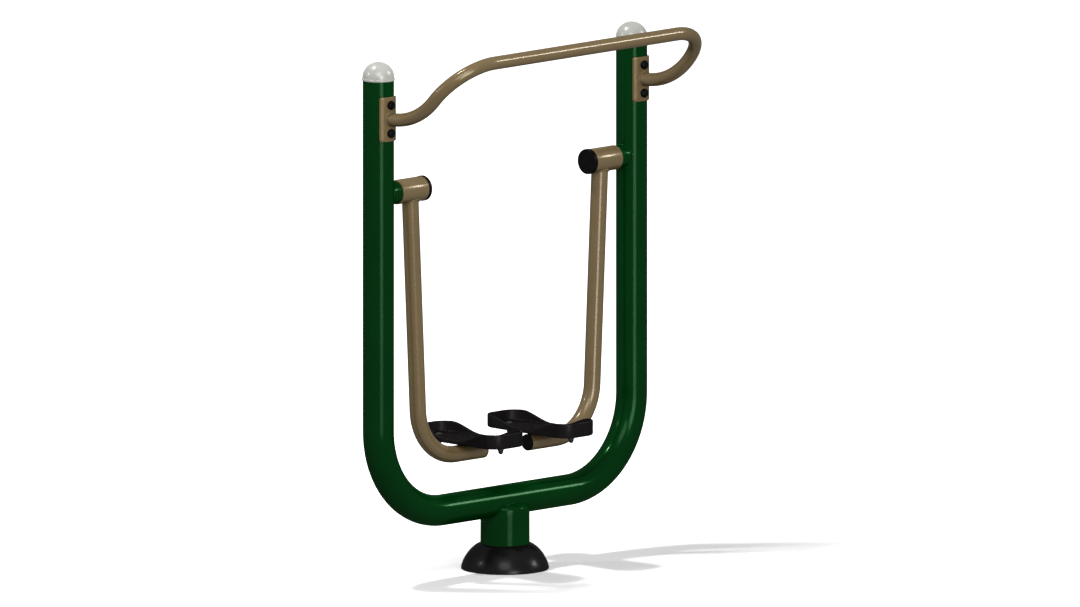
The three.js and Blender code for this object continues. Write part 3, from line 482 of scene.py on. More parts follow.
class Shape:
    """Points and faces gathered for one mesh."""

    def __init__(self):
        self.points = []
        self.faces = []

    def ring(self, points):
        start = len(self.points)
        self.points.extend(points)
        return list(range(start, len(self.points)))

    def bridge(self, first, second):
        count = len(first)
        for i in range(count):
            j = (i + 1) % count
            self.faces.append((first[i], first[j], second[j], second[i]))

    def sleeve(self, rings):
        """Quads through rings of equal length."""
        numbers = [self.ring(points) for points in rings]
        for first, second in zip(numbers, numbers[1:]):
            self.bridge(first, second)
        return numbers

    def skin(self, rings, looped=False):
        """A sleeve with its ends closed, or with the last ring joined to the first if looped."""
        numbers = self.sleeve(rings)
        if looped:
            self.bridge(numbers[-1], numbers[0])
        else:
            self.faces.append(tuple(reversed(numbers[0])))
            self.faces.append(tuple(numbers[-1]))
        return self


def add_piece(name, shape, slot, body, replaced=(), sign=1, finish=None):
    """The shape as an object that rides on a body; sign -1 mirrors it to the left side.

    Its look is the finish, where one is named, or else that of its slot.
    """
    points = [(sign * p[0], p[1], p[2]) for p in shape.points]
    mesh = bpy.data.meshes.new(name)
    mesh.from_pydata(points, [], shape.faces)
    work = bmesh.new()
    work.from_mesh(mesh)
    bmesh.ops.remove_doubles(work, verts=work.verts, dist=MERGE_DISTANCE)
    bmesh.ops.dissolve_degenerate(work, edges=work.edges, dist=LEAST_EDGE)
    bmesh.ops.recalc_face_normals(work, faces=work.faces)
    work.to_mesh(mesh)
    work.free()
    mesh.shade_smooth()
    mesh.set_sharp_from_angle(angle=SHARP_ANGLE)
    mesh.materials.append(FINISHES[finish or slot])
    piece = bpy.data.objects.new(name, mesh)
    bpy.context.scene.collection.objects.link(piece)
    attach(piece, body)
    if replaced:
        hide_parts(*replaced)


def rounded(corners):
    """A closed outline from (radius, height, fillet) corners, with each fillet as an arc."""
    outline = []
    for index, (x, y, fillet) in enumerate(corners):
        corner = Vector((x, y))
        if fillet == 0:
            outline.append(corner)
            continue
        before = Vector(corners[index - 1][:2]) - corner
        after = Vector(corners[(index + 1) % len(corners)][:2]) - corner
        before.normalize()
        after.normalize()
        half = before.angle(after) / 2
        middle = (before + after).normalized()
        centre = corner + middle * (fillet / math.sin(half))
        start = corner + before * (fillet / math.tan(half)) - centre
        end = corner + after * (fillet / math.tan(half)) - centre
        turn = start.angle_signed(end)
        for step in range(FILLET_STEPS + 1):
            angle = -turn * step / FILLET_STEPS
            spoke = Matrix.Rotation(angle, 2) @ start
            outline.append(centre + spoke)
    return outline


def quarter_arc(start, end, steps):
    """Points along a quarter ellipse that leaves its start upright and reaches its end level."""
    run = end[0] - start[0]
    rise = end[1] - start[1]
    points = []
    for step in range(steps + 1):
        angle = math.pi / 2 * step / steps
        points.append((start[0] + run * (1 - math.cos(angle)), start[1] + rise * math.sin(angle)))
    return points


def dome(start, end, steps):
    """A quarter arc as corners for an outline, without its two ends."""
    return [(radius, height, 0) for radius, height in quarter_arc(start, end, steps)[1:-1]]


def turned(outline, sides, axis=UPWARDS, centre=Vector()):
    """A closed outline of (radius, height) points turned about an axis through centre."""
    rings = []
    for radius, height in outline:
        ring = []
        for side in range(sides):
            angle = 2 * math.pi * side / sides
            point = Vector((radius * math.cos(angle), radius * math.sin(angle), height))
            ring.append(centre + axis.to_3x3() @ point)
        rings.append(ring)
    return Shape().skin(rings, looped=True)


def slide_to_round(point, direction, centre, axis, radius):
    """The point moved along direction until it meets the surface of a round bar."""
    across = point - centre
    across -= axis * across.dot(axis)
    step = direction - axis * direction.dot(axis)
    squared = step.dot(step)
    lean = across.dot(step)
    excess = across.dot(across) - radius * radius
    root = math.sqrt(max(lean * lean - squared * excess, 0.0))
    reach = min(((-lean + root) / squared, (-lean - root) / squared), key=abs)
    return point + direction * reach


def bent_path(corners):
    """(point, direction) stations along a line whose (point, bend) corners are round."""
    stations = []
    last = len(corners) - 1
    for index, (corner, bend) in enumerate(corners):
        if index in (0, last):
            other = corners[1 if index == 0 else last - 1][0]
            along = (other - corner) if index == 0 else (corner - other)
            stations.append((corner, along.normalized()))
            continue
        inward = (corner - corners[index - 1][0]).normalized()
        outward = (corners[index + 1][0] - corner).normalized()
        turn = inward.angle(outward)
        axis = inward.cross(outward).normalized()
        start = corner - inward * (bend * math.tan(turn / 2))
        spoke = -axis.cross(inward) * bend
        centre = start - spoke
        steps = math.ceil(turn / BEND_STEP)
        for step in range(steps + 1):
            rotation = Matrix.Rotation(turn * step / steps, 3, axis)
            stations.append((centre + rotation @ spoke, rotation @ inward))
    return stations


def tube_rings(stations, radius, sides):
    """Rings of points round a path, kept from twisting along it."""
    direction = stations[0][1]
    normal = direction.orthogonal().normalized()
    rings = []
    for point, along in stations:
        normal = direction.rotation_difference(along) @ normal
        direction = along
        side = along.cross(normal)
        ring = []
        for index in range(sides):
            angle = 2 * math.pi * index / sides
            ring.append(point + radius * (normal * math.cos(angle) + side * math.sin(angle)))
        rings.append(ring)
    return rings


def tube(stations, radius, wall, sides, fits=(None, None)):
    """A hollow tube along a path; a fit moves the points of an end onto what it meets."""
    outer = tube_rings(stations, radius, sides)
    inner = tube_rings(stations, radius - wall, sides)
    for rings in (outer, inner):
        for end, fit in zip((0, -1), fits):
            if fit:
                rings[end] = [fit(point) for point in rings[end]]
    return Shape().skin(outer + inner[::-1], looped=True)


def weld_bead(name, seam, hub, slot, body, closed=True, sign=1):
    """A rippled bead laid along a seam; hub is a point inside the seam's loop."""
    count = len(seam)
    travelled = 0.0
    rings = []
    for index, point in enumerate(seam):
        before = seam[index - 1] if closed or index else point
        after = seam[(index + 1) % count] if closed or index < count - 1 else point
        along = (after - before).normalized()
        outward = point - hub
        outward = (outward - along * outward.dot(along)).normalized()
        side = along.cross(outward)
        ripple = abs(math.sin(math.pi * travelled / WELD_PITCH))
        radius = WELD_RADIUS * (1 - WELD_RIPPLE_SHARE + WELD_RIPPLE_SHARE * ripple)
        ring = []
        for step in range(WELD_SIDES):
            angle = 2 * math.pi * step / WELD_SIDES
            ring.append(point + radius * (outward * math.cos(angle) + side * math.sin(angle)))
        rings.append(ring)
        travelled += (seam[(index + 1) % count] - point).length
    add_piece(name, Shape().skin(rings, looped=closed), slot, body, sign=sign)


def round_seam(radius, axis, centre, slide, mate_centre, mate_axis, mate_radius):
    """The line where a round bar meets the surface of another."""
    seam = []
    for index in range(WELD_POINTS):
        angle = 2 * math.pi * index / WELD_POINTS
        spoke = Vector((radius * math.cos(angle), radius * math.sin(angle), 0))
        start = centre + axis.to_3x3() @ spoke
        seam.append(slide_to_round(start, slide, mate_centre, mate_axis, mate_radius))
    return seam


def rectangle_ring(width, length, corner, inset, corner_steps=10, straight_steps=16):
    """Points round a rectangle with round corners, drawn in by inset."""
    radius = max(corner - inset, 0.0)
    reach_x = width / 2 - max(corner, inset)
    reach_y = length / 2 - max(corner, inset)
    arcs = []
    for quarter, (sx, sy) in enumerate(((1, 1), (-1, 1), (-1, -1), (1, -1))):
        arc = []
        for step in range(corner_steps + 1):
            angle = math.pi / 2 * (quarter + step / corner_steps)
            spoke = Vector((math.cos(angle), math.sin(angle))) * radius
            arc.append(Vector((sx * reach_x, sy * reach_y)) + spoke)
        arcs.append(arc)
    ring = []
    for arc, following in zip(arcs, arcs[1:] + arcs[:1]):
        ring.extend(arc)
        for step in range(1, straight_steps):
            ring.append(arc[-1].lerp(following[0], step / straight_steps))
    return ring


def stacked(width, length, corner, levels, place):
    """A body from rings of one outline; a level is (inset, height), its height maybe by place.

    The first and last level are drawn in to the middle line, so that they close the body.
    """
    rings = []
    for inset, height in levels:
        ring = []
        for x, y in rectangle_ring(width, length, corner, inset):
            level = height(y) if callable(height) else height
            ring.append(place(x, y, level))
        rings.append(ring)
    shape = Shape()
    shape.sleeve(rings)
    return shape


def slab_levels(thickness, edge):
    """Levels up the side of a flat bar whose edges are rounded."""
    lower = quarter_arc((0.0, edge), (edge, 0.0), EDGE_STEPS)[::-1]
    upper = quarter_arc((0.0, thickness - edge), (edge, thickness), EDGE_STEPS)
    return lower + upper


# The U frame and its foot

def make_u_frame():
    stations = bent_path([
        (Vector((-POST_X, 0, POST_TOP)), 0),
        (Vector((-POST_X, 0, BAR_Z)), FRAME_BEND),
        (Vector((POST_X, 0, BAR_Z)), FRAME_BEND),
        (Vector((POST_X, 0, POST_TOP)), 0),
    ])
    shape = tube(stations, POST_RADIUS, FRAME_WALL, ROUND_SIDES)
    add_piece("frame_tube", shape, "green_enamel", "frame", ["u_frame"])


def pedestal_column(radius, run, rise, base, angle):
    """One upright line of the pedestal's skin, ended where it meets the bottom bar."""
    shoulder = BAR_Z - SHOULDER_DROP - SHOULDER_RISE
    spoke = Vector((math.cos(angle), math.sin(angle), 0))

    def at(share):
        if share <= 0.5:
            return spoke * radius + Z_AXIS * (base + (shoulder - base) * share * 2)
        turn = math.pi / 2 * (share - 0.5) * 2
        drawn = radius - run * (1 - math.cos(turn))
        return spoke * drawn + Z_AXIS * (shoulder + rise * math.sin(turn))

    def inside_bar(point):
        return point.y**2 + (point.z - BAR_Z) ** 2 < (POST_RADIUS + SEAT_GAP) ** 2

    low, high = 0.0, 1.0
    if inside_bar(at(high)):
        for _ in range(HALVINGS):
            middle = (low + high) / 2
            if inside_bar(at(middle)):
                high = middle
            else:
                low = middle
    else:
        low = high
    return [at(low * step / PEDESTAL_STEPS) for step in range(PEDESTAL_STEPS + 1)]


def make_pedestal():
    base = pedestal_low.z
    run = PEDESTAL_RADIUS - POST_RADIUS
    inner_radius = PEDESTAL_RADIUS - PEDESTAL_WALL
    inner_rise = SHOULDER_RISE - PEDESTAL_WALL
    columns = []
    for side in range(ROUND_SIDES):
        angle = 2 * math.pi * side / ROUND_SIDES
        outer = pedestal_column(PEDESTAL_RADIUS, run, SHOULDER_RISE, base, angle)
        inner = pedestal_column(inner_radius, run, inner_rise, base, angle)
        columns.append(outer + inner[::-1])
    shape = Shape().skin([list(ring) for ring in zip(*columns)], looped=True)
    add_piece("pedestal_tube", shape, "green_enamel", "frame", ["pedestal"])
    seam = [column[PEDESTAL_STEPS] for column in columns]
    dense = []
    for first, second in zip(seam, seam[1:] + seam[:1]):
        for step in range(PEDESTAL_WELD_STEPS):
            dense.append(first.lerp(second, step / PEDESTAL_WELD_STEPS))
    hub = Vector((0, 0, BAR_Z - POST_RADIUS))
    weld_bead("pedestal_weld", dense, hub, "green_enamel", "frame")


def superellipse(hole, edge, height, base, steps):
    """A full curve from the foot of a bell's skin up to its hole."""
    curve = []
    for step in range(steps + 1):
        angle = math.pi / 2 * step / steps
        out = math.cos(angle) ** (2 / COVER_FULLNESS) if step < steps else 0.0
        up = math.sin(angle) ** (2 / COVER_FULLNESS)
        curve.append(Vector((hole + (edge - hole) * out, base + (height - base) * up)))
    return curve


def make_base_cover():
    """Bell-shaped cover with a rounded foot; its top runs in to a hole round the pedestal."""
    hole = PEDESTAL_RADIUS + SEAT_GAP
    inner_edge = COVER_RADIUS - COVER_WALL
    outer_steps, inner_steps = COVER_STEPS
    outer = superellipse(hole, COVER_RADIUS, COVER_HEIGHT, COVER_FOOT, outer_steps)
    inner = superellipse(hole, inner_edge, COVER_HEIGHT - COVER_WALL, COVER_FOOT, inner_steps)
    sole = [Vector((inner_edge + FINE_ROUND, 0)), Vector((COVER_RADIUS - EDGE_ROUND, 0))]
    shape = turned(sole + outer + inner[::-1], COVER_SIDES)
    add_piece("foot_cover", shape, "cover_plastic", "frame", ["base_cover"])


# What stands on each post

def make_post_cap(side, sign):
    seat = POST_TOP + SEAT_GAP
    brim_top = seat + CAP_BRIM_HEIGHT
    edge = CAP_RADIUS - CAP_BRIM_STEP
    skirt = POST_RADIUS - FRAME_WALL - SEAT_GAP
    hollow = skirt - CAP_WALL
    dome_foot = brim_top + CAP_DOME_STEP
    top = cap_high.z
    lower_round, upper_round = CAP_BRIM_ROUNDS
    outer_steps, inner_steps = CAP_STEPS
    corners = [
        (hollow, cap_low.z, FINE_ROUND),
        (skirt, cap_low.z, EDGE_ROUND),
        (skirt, seat, 0),
        (CAP_RADIUS, seat, lower_round),
        (CAP_RADIUS, brim_top, upper_round),
        (edge, brim_top, FINE_ROUND),
        (edge, dome_foot, 0),
        *dome((edge, dome_foot), (0, top), outer_steps),
        (0, top, 0),
        (0, top - CAP_WALL, 0),
        *dome((hollow, brim_top), (0, top - CAP_WALL), inner_steps)[::-1],
        (hollow, brim_top, 0),
    ]
    shape = turned(rounded(corners), ROUND_SIDES, UPWARDS, POST_FOOT)
    name = f"{side}_post_cap"
    add_piece(f"{side}_dome_cap", shape, "pearl_plastic", "frame", [name], sign)


def make_saddle_plate(side, sign):
    """Curved plate with rounded corners and edges, on the front of the post."""
    inner = PLATE_OUTER - PLATE_THICKNESS
    width = 2 * PLATE_WRAP * PLATE_OUTER
    half = width / 2
    levels = [
        *((half * share, 0.0) for share in PLATE_RING_SHARES),
        *slab_levels(PLATE_THICKNESS, PLATE_EDGE),
        *((half * share, PLATE_THICKNESS) for share in reversed(PLATE_RING_SHARES)),
    ]

    def place(across, up, out):
        angle = across / PLATE_OUTER
        radius = inner + out
        x = POST_X + radius * math.sin(angle)
        return Vector((x, -radius * math.cos(angle), ROOT_Z + up))

    shape = stacked(width, PLATE_HEIGHT, PLATE_CORNER, levels, place)
    name = f"{side}_saddle_plate"
    add_piece(f"{side}_handle_plate", shape, "tan_enamel", "frame", [name], sign, "plate_enamel")


def make_bolt_cover(side, sign, level, rise):
    """Snap cover: a low dome with a small dimple, seated on the curved plate."""
    seat = PLATE_OUTER + SEAT_GAP
    top = seat + BOLT_COVER_RISE
    foot = seat - BOLT_COVER_RIM
    rim = seat + BOLT_COVER_RIM
    radius = BOLT_COVER_RADIUS
    corners = [
        (0, foot, 0),
        (radius, foot, 0),
        (radius, rim, 0),
        *dome((radius, rim), (DIMPLE_RADIUS, top), BOLT_COVER_STEPS),
        (DIMPLE_RADIUS, top, HAIR_ROUND),
        (DIMPLE_RADIUS - DIMPLE_SLOPE, top - DIMPLE_DEPTH, HAIR_ROUND),
        (0, top - DIMPLE_DEPTH, 0),
    ]
    centre = Vector((POST_X, 0, ROOT_Z + rise))
    shape = turned(rounded(corners), SMALL_SIDES, FORWARDS, centre)
    for index, point in enumerate(shape.points):
        if point.y > -foot - MERGE_DISTANCE:
            shape.points[index] = slide_to_round(point, Y_AXIS, POST_FOOT, Z_AXIS, seat)
    name = f"{side}_{level}_bolt_cover"
    add_piece(f"{side}_{level}_bolt_dome", shape, "trim_plastic", "frame", [name], sign)


def make_handlebar():
    reach = HANDLE_RISE_BEND * math.tan(HANDLE_RISE / 2)
    root_corner = PLATE_OUTER + HANDLE_ROOT_LENGTH + reach
    leg = reach + HANDLE_CORNER_BEND
    grip_y = -root_corner - leg * math.cos(HANDLE_RISE)
    grip_z = ROOT_Z + leg * math.sin(HANDLE_RISE)
    stations = bent_path([
        (Vector((-POST_X, -PLATE_OUTER, ROOT_Z)), 0),
        (Vector((-POST_X, -root_corner, ROOT_Z)), HANDLE_RISE_BEND),
        (Vector((-POST_X, grip_y, grip_z)), HANDLE_CORNER_BEND),
        (Vector((POST_X, grip_y, grip_z)), HANDLE_CORNER_BEND),
        (Vector((POST_X, -root_corner, ROOT_Z)), HANDLE_RISE_BEND),
        (Vector((POST_X, -PLATE_OUTER, ROOT_Z)), 0),
    ])

    def root_fit(sign):
        seat = PLATE_OUTER + SEAT_GAP
        return lambda point: slide_to_round(point, Y_AXIS, POST_FOOT * sign, Z_AXIS, seat)

    fits = (root_fit(-1), root_fit(1))
    shape = tube(stations, HANDLE_RADIUS, HANDLE_WALL, ROUND_SIDES, fits)
    add_piece("grip_tube", shape, "tan_enamel", "frame", ["handlebar"])
    centre = Vector((POST_X, -PLATE_OUTER, ROOT_Z))
    seam = round_seam(HANDLE_RADIUS, FORWARDS, centre, Y_AXIS, POST_FOOT, Z_AXIS, PLATE_OUTER)
    for side, sign in SIDES.items():
        weld_bead(f"{side}_handle_weld", seam, centre, "tan_enamel", "frame", sign=sign)


# Pivots

def make_boss(side, sign):
    inner_x = boss_low.x
    post_x = POST_X - POST_RADIUS
    outer_x = post_x + BOSS_OVERRUN
    corners = [
        (BOSS_BORE, inner_x, FINE_ROUND),
        (BOSS_RADIUS, inner_x, BOSS_EDGE),
        (BOSS_RADIUS, outer_x, 0),
        (BOSS_BORE, outer_x, 0),
    ]
    shape = turned(rounded(corners), ROUND_SIDES, OUTWARDS, PIVOT_MIDDLE)
    seat = POST_RADIUS + SEAT_GAP
    for index, point in enumerate(shape.points):
        if point.x > post_x:
            shape.points[index] = slide_to_round(point, X_AXIS, POST_FOOT, Z_AXIS, seat)
    add_piece(f"{side}_pivot_boss", shape, "green_enamel", "frame", [f"{side}_axle_boss"], sign)
    start = Vector((post_x, 0, PIVOT_Z))
    seam = round_seam(BOSS_RADIUS, OUTWARDS, start, X_AXIS, POST_FOOT, Z_AXIS, POST_RADIUS)
    weld_bead(f"{side}_boss_weld", seam, start, "green_enamel", "frame", sign=sign)


def make_housing(side, sign):
    lip_x = HOUSING_OUTER_X - HOUSING_LIP
    corners = [
        (HOUSING_BORE, HOUSING_INNER_X, FINE_ROUND),
        (HOUSING_RADIUS, HOUSING_INNER_X, EDGE_ROUND),
        (HOUSING_RADIUS, HOUSING_OUTER_X, HOUSING_ROUND),
        (HOUSING_LIP_BORE, HOUSING_OUTER_X, FINE_ROUND),
        (HOUSING_LIP_BORE, lip_x, 0),
        (HOUSING_BORE, lip_x, 0),
    ]
    shape = turned(rounded(corners[::-1]), ROUND_SIDES, OUTWARDS, PIVOT_MIDDLE)
    name = f"{side}_bearing_housing"
    add_piece(f"{side}_pivot_tube", shape, "tan_enamel", f"{side}_swing", [name], sign)


def make_housing_cap(side, sign):
    """End cap that laps over the housing: rounded rim and a slightly sunk face."""
    face = housing_cap_low.x
    seat = HOUSING_INNER_X - SEAT_GAP
    lap = HOUSING_RADIUS + HOUSING_CAP_PLAY
    rim = lap + HOUSING_CAP_WALL
    lap_end = HOUSING_INNER_X + HOUSING_CAP_LAP
    skirt = HOUSING_BORE - SEAT_GAP
    skirt_end = HOUSING_INNER_X + HOUSING_CAP_SKIRT
    hollow = skirt - HOUSING_CAP_SKIRT_WALL
    floor_x = face + HOUSING_CAP_FLOOR
    corners = [
        *((radius, face + depth, fillet) for radius, depth, fillet in HOUSING_CAP_FACE),
        (rim, face, HOUSING_CAP_ROUND),
        (rim, lap_end, HAIR_ROUND),
        (lap, lap_end, 0),
        (lap, seat, 0),
        (skirt, seat, 0),
        (skirt, skirt_end, EDGE_ROUND),
        (hollow, skirt_end, SKIRT_ROUND),
        (hollow, floor_x, EDGE_ROUND),
        (0, floor_x, 0),
    ]
    shape = turned(rounded(corners), ROUND_SIDES, OUTWARDS, PIVOT_MIDDLE)
    name = f"{side}_housing_cap"
    add_piece(f"{side}_pivot_cap", shape, "trim_plastic", f"{side}_swing", [name], sign)


# Swing arms and pedals

def make_arm(side, sign):
    body = f"{side}_swing"
    top_x = HOUSING_INNER_X + (HOUSING_OUTER_X - HOUSING_INNER_X) * ARM_SEAT_SHARE
    drop = PIVOT_Z - ARM_Z
    corner = Vector((top_x - drop * math.tan(ARM_LEAN), 0, ARM_Z))
    top = Vector((top_x, 0, PIVOT_Z))
    down = (corner - top).normalized()
    start = top + down * HOUSING_RADIUS
    stations = bent_path([(start, 0), (corner, ARM_BEND), (Vector((ARM_END_X, 0, ARM_Z)), 0)])
    seat = HOUSING_RADIUS + SEAT_GAP

    def top_fit(point):
        return slide_to_round(point, down, top, X_AXIS, seat)

    shape = tube(stations, ARM_RADIUS, ARM_WALL, ROUND_SIDES, (top_fit, None))
    add_piece(f"{side}_arm_tube", shape, "tan_enamel", body, [f"{side}_swing_arm"], sign)
    tilt = Z_AXIS.rotation_difference(-down).to_matrix().to_4x4()
    seam = round_seam(ARM_RADIUS, tilt, start, down, top, X_AXIS, HOUSING_RADIUS)
    weld_bead(f"{side}_arm_weld", seam, start, "tan_enamel", body, sign=sign)


def make_arm_plug(side, sign):
    seat = ARM_END_X - SEAT_GAP
    face = plug_low.x
    skirt = ARM_RADIUS - ARM_WALL - SEAT_GAP
    skirt_end = ARM_END_X + PLUG_SKIRT
    hollow = skirt - PLUG_SKIRT_WALL
    corners = [
        (0, face, 0),
        (ARM_RADIUS - ARM_WALL, face + PLUG_EDGE, PLUG_FACE_ROUND),
        (ARM_RADIUS, seat - PLUG_EDGE, EDGE_ROUND),
        (ARM_RADIUS, seat, 0),
        (skirt, seat, 0),
        (skirt, skirt_end, EDGE_ROUND),
        (hollow, skirt_end, SKIRT_ROUND),
        (hollow, seat, 0),
        (0, seat, 0),
    ]
    shape = turned(rounded(corners), ROUND_SIDES, OUTWARDS, Z_AXIS * ARM_Z)
    name = f"{side}_arm_plug"
    add_piece(f"{side}_arm_stopper", shape, "trim_plastic", f"{side}_swing", [name], sign)


def smooth(share):
    """A share from 0 to 1 that sets out and arrives gently."""
    share = min(max(share, 0.0), 1.0)
    return share * share * (3 - 2 * share)


def rim_height(y):
    """Height of the tray's rim above its underside; the toe is at negative y."""
    top, length = (TOE_RIM, TOE_RISE_LENGTH) if y < 0 else (HEEL_RIM, HEEL_RISE_LENGTH)
    return WAIST_RIM + (top - WAIST_RIM) * smooth((abs(y) - WAIST_HALF_LENGTH) / length)


def make_pedal(side, sign):
    """Moulded tray: round edges, a rolled rim that sinks to the waist, and tread bars."""
    half = TRAY_WIDTH / 2
    flat_start, flat_end = TRAY_RIM_FLAT
    fillet_start = (TRAY_WALL, TRAY_FLOOR + TRAY_FILLET_RISE)
    fillet_end = (TRAY_WALL + TRAY_FILLET_RUN, TRAY_FLOOR)
    rim = [
        *quarter_arc((0.0, TRAY_RIM_DROP), (flat_start, 0.0), RIM_STEPS),
        *quarter_arc((TRAY_WALL, TRAY_RIM_DROP), (flat_end, 0.0), RIM_STEPS)[::-1],
    ]

    def below_rim(depth):
        return lambda y: rim_height(y) - depth

    levels = [
        *((half * share, 0.0) for share in TRAY_SOLE_SHARES),
        *quarter_arc((0.0, TRAY_SOLE_ROUND), (TRAY_SOLE_ROUND, 0.0), FILLET_STEPS)[::-1],
        *((inset, below_rim(depth)) for inset, depth in rim),
        *quarter_arc(fillet_start, fillet_end, FILLET_STEPS)[1:],
        *((half * share, TRAY_FLOOR) for share in TRAY_FLOOR_SHARES),
    ]

    def place(x, y, z):
        return Vector((TRAY_X + x, y, TRAY_Z + z))

    shape = stacked(TRAY_WIDTH, TRAY_LENGTH, TRAY_CORNER, levels, place)
    for index in range(TREAD_COUNT):
        add_tread(shape, TREAD_PITCH * (index - (TREAD_COUNT - 1) / 2))
    name = f"{side}_foot_pedal"
    add_piece(f"{side}_pedal_tray", shape, "pedal_plastic", f"{side}_swing", [name], sign)


def add_tread(shape, middle):
    """One anti-slip bar with round ends and a round top, sunk a little into the floor."""
    half = TREAD_WIDTH / 2
    base = TRAY_Z + TRAY_FLOOR - TREAD_SINK
    top = TRAY_Z + TRAY_FLOOR + TREAD_HEIGHT
    levels = [
        (half, base),
        (0.0, base),
        *quarter_arc((0.0, top - TREAD_ROUND_DROP), (TREAD_ROUND_RUN, top), RIM_STEPS),
        (half, top),
    ]
    rings = []
    for inset, height in levels:
        outline = rectangle_ring(TREAD_LENGTH, TREAD_WIDTH, half, inset, *TREAD_STEPS)
        rings.append([Vector((TRAY_X + x, middle + y, height)) for x, y in outline])
    shape.sleeve(rings)


def make_bracket(side, sign):
    width = bracket_high.x - bracket_low.x
    length = bracket_high.y - bracket_low.y
    thickness = bracket_high.z - bracket_low.z
    half = width / 2
    levels = [(half, 0.0), *slab_levels(thickness, BRACKET_EDGE), (half, thickness)]

    def place(x, y, z):
        return Vector((TRAY_X + x, y, bracket_low.z + z))

    shape = stacked(width, length, BRACKET_CORNER, levels, place)
    body = f"{side}_swing"
    name = f"{side}_pedal_bracket"
    add_piece(f"{side}_tray_bracket", shape, "tan_enamel", body, [name], sign)
    rest = ARM_RADIUS * BRACKET_WELD_PLACE_SHARE
    crest = math.sqrt(ARM_RADIUS**2 - rest**2)
    height = ARM_Z + crest + WELD_RADIUS * BRACKET_WELD_LIFT_SHARE
    start_x = TRAY_X - half + BRACKET_WELD_MARGIN
    run = width - 2 * BRACKET_WELD_MARGIN
    hub = Vector((TRAY_X, 0, ARM_Z))
    for end, way in ENDS.items():
        seam = []
        for step in range(BRACKET_WELD_POINTS):
            x = start_x + run * (step / (BRACKET_WELD_POINTS - 1))
            seam.append(Vector((x, way * rest, height)))
        name = f"{side}_{end}_bracket_weld"
        weld_bead(name, seam, hub, "tan_enamel", body, closed=False, sign=sign)


def make_pedal_bolt(side, sign, end, y):
    """Bolt with a round head on the tray's floor."""
    low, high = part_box(f"{side}_{end}_pedal_bolt")
    seat = high.z - PEDAL_BOLT_HEAD_HEIGHT
    edge = seat + BOLT_HEAD_RIM
    corners = [
        (0, low.z, 0),
        (PEDAL_BOLT_RADIUS, low.z, EDGE_ROUND),
        (PEDAL_BOLT_RADIUS, seat, 0),
        (PEDAL_BOLT_HEAD_RADIUS, seat, BOLT_HEAD_RIM / 2),
        (PEDAL_BOLT_HEAD_RADIUS, edge, 0),
        *dome((PEDAL_BOLT_HEAD_RADIUS, edge), (0, high.z), DOME_STEPS),
        (0, high.z, 0),
    ]
    shape = turned(rounded(corners), SMALL_SIDES, UPWARDS, Vector((TRAY_X, y, 0)))
    name = f"{side}_{end}_pedal_bolt"
    add_piece(f"{side}_{end}_tray_bolt", shape, "black_zinc", f"{side}_swing", [name], sign)


def make_pedal_nut(side, sign, end, y):
    """Dome nut: a hexagon whose corners are turned off, and a round cap below it."""
    top = bracket_low.z - SEAT_GAP
    base = top - PEDAL_NUT_HEIGHT
    low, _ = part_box(f"{side}_{end}_pedal_nut")
    sixth = math.pi / 6
    corner = PEDAL_NUT_FLAT / math.cos(sixth)
    chamfer = PEDAL_NUT_FLAT * NUT_CHAMFER_SHARE
    bore = PEDAL_BOLT_RADIUS + SEAT_GAP
    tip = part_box(f"{side}_{end}_pedal_bolt")[0].z - SEAT_GAP
    levels = [
        (bore, top),
        (chamfer, top),
        (corner, top - NUT_CHAMFER),
        (corner, base + NUT_CHAMFER),
        (chamfer, base),
        (NUT_DOME_RADIUS + NUT_NECK, base),
        (NUT_DOME_RADIUS, base - NUT_NECK),
        *quarter_arc((NUT_DOME_RADIUS, low.z + NUT_DOME_RADIUS), (0, low.z), DOME_STEPS),
        (0, tip),
        (bore, tip),
    ]
    rings = []
    for radius, z in levels:
        ring = []
        for step in range(NUT_SIDES):
            angle = 2 * math.pi * step / NUT_SIDES
            flat = PEDAL_NUT_FLAT / math.cos((angle + sixth) % (2 * sixth) - sixth)
            reach = min(radius, flat)
            ring.append(Vector((TRAY_X + reach * math.cos(angle), y + reach * math.sin(angle), z)))
        rings.append(ring)
    shape = Shape().skin(rings, looped=True)
    name = f"{side}_{end}_pedal_nut"
    add_piece(f"{side}_{end}_tray_nut", shape, "black_zinc", f"{side}_swing", [name], sign)


# Assembly

def finish_frame_nodes():
    """The CAD nodes that stay, most of them inside others, take the material of their slot."""
    slots = {entry["node"]: entry["material_slot"] for entry in frame["record"]["subparts"]}
    for name, node in frame["nodes"].items():
        node.data.materials.clear()
        node.data.materials.append(FINISHES[slots[name]])


def build_object():
    finish_frame_nodes()
    make_u_frame()
    make_pedestal()
    make_base_cover()
    make_handlebar()
    for side, sign in SIDES.items():
        make_post_cap(side, sign)
        make_saddle_plate(side, sign)
        make_bolt_cover(side, sign, "upper", BOLT_RISE)
        make_bolt_cover(side, sign, "lower", -BOLT_RISE)
        make_boss(side, sign)
        make_housing(side, sign)
        make_housing_cap(side, sign)
        make_arm(side, sign)
        make_arm_plug(side, sign)
        make_bracket(side, sign)
        make_pedal(side, sign)
        for end, way in ENDS.items():
            make_pedal_bolt(side, sign, end, way * PEDAL_BOLT_Y)
            make_pedal_nut(side, sign, end, way * PEDAL_BOLT_Y)


build_object()

# Stage, camera and light

PHOTO_WIDTH = 1080
PHOTO_HEIGHT = 607
PIXELS_PER_METRE = 352.8
ORIGIN_PIXEL = (505, 568)
CAMERA_AZIMUTH = math.radians(-45)
CAMERA_ELEVATION = math.radians(9.2)
CAMERA_DISTANCE = 6.0
CAMERA_SIGHT = 60
LAMP_AIM = Vector((0, 0, 0.8))
WORLD_LEVEL = 0.09
FLOOR_REACH = 30.0
FLOOR_LEVEL = -0.0004
FLOOR_BOUNCE = 0.10
FLOOR_SHADE = 0.98
GLOW_MIDDLE = (0.15, -0.10)
GLOW_OVAL = (0.55, 0.22)
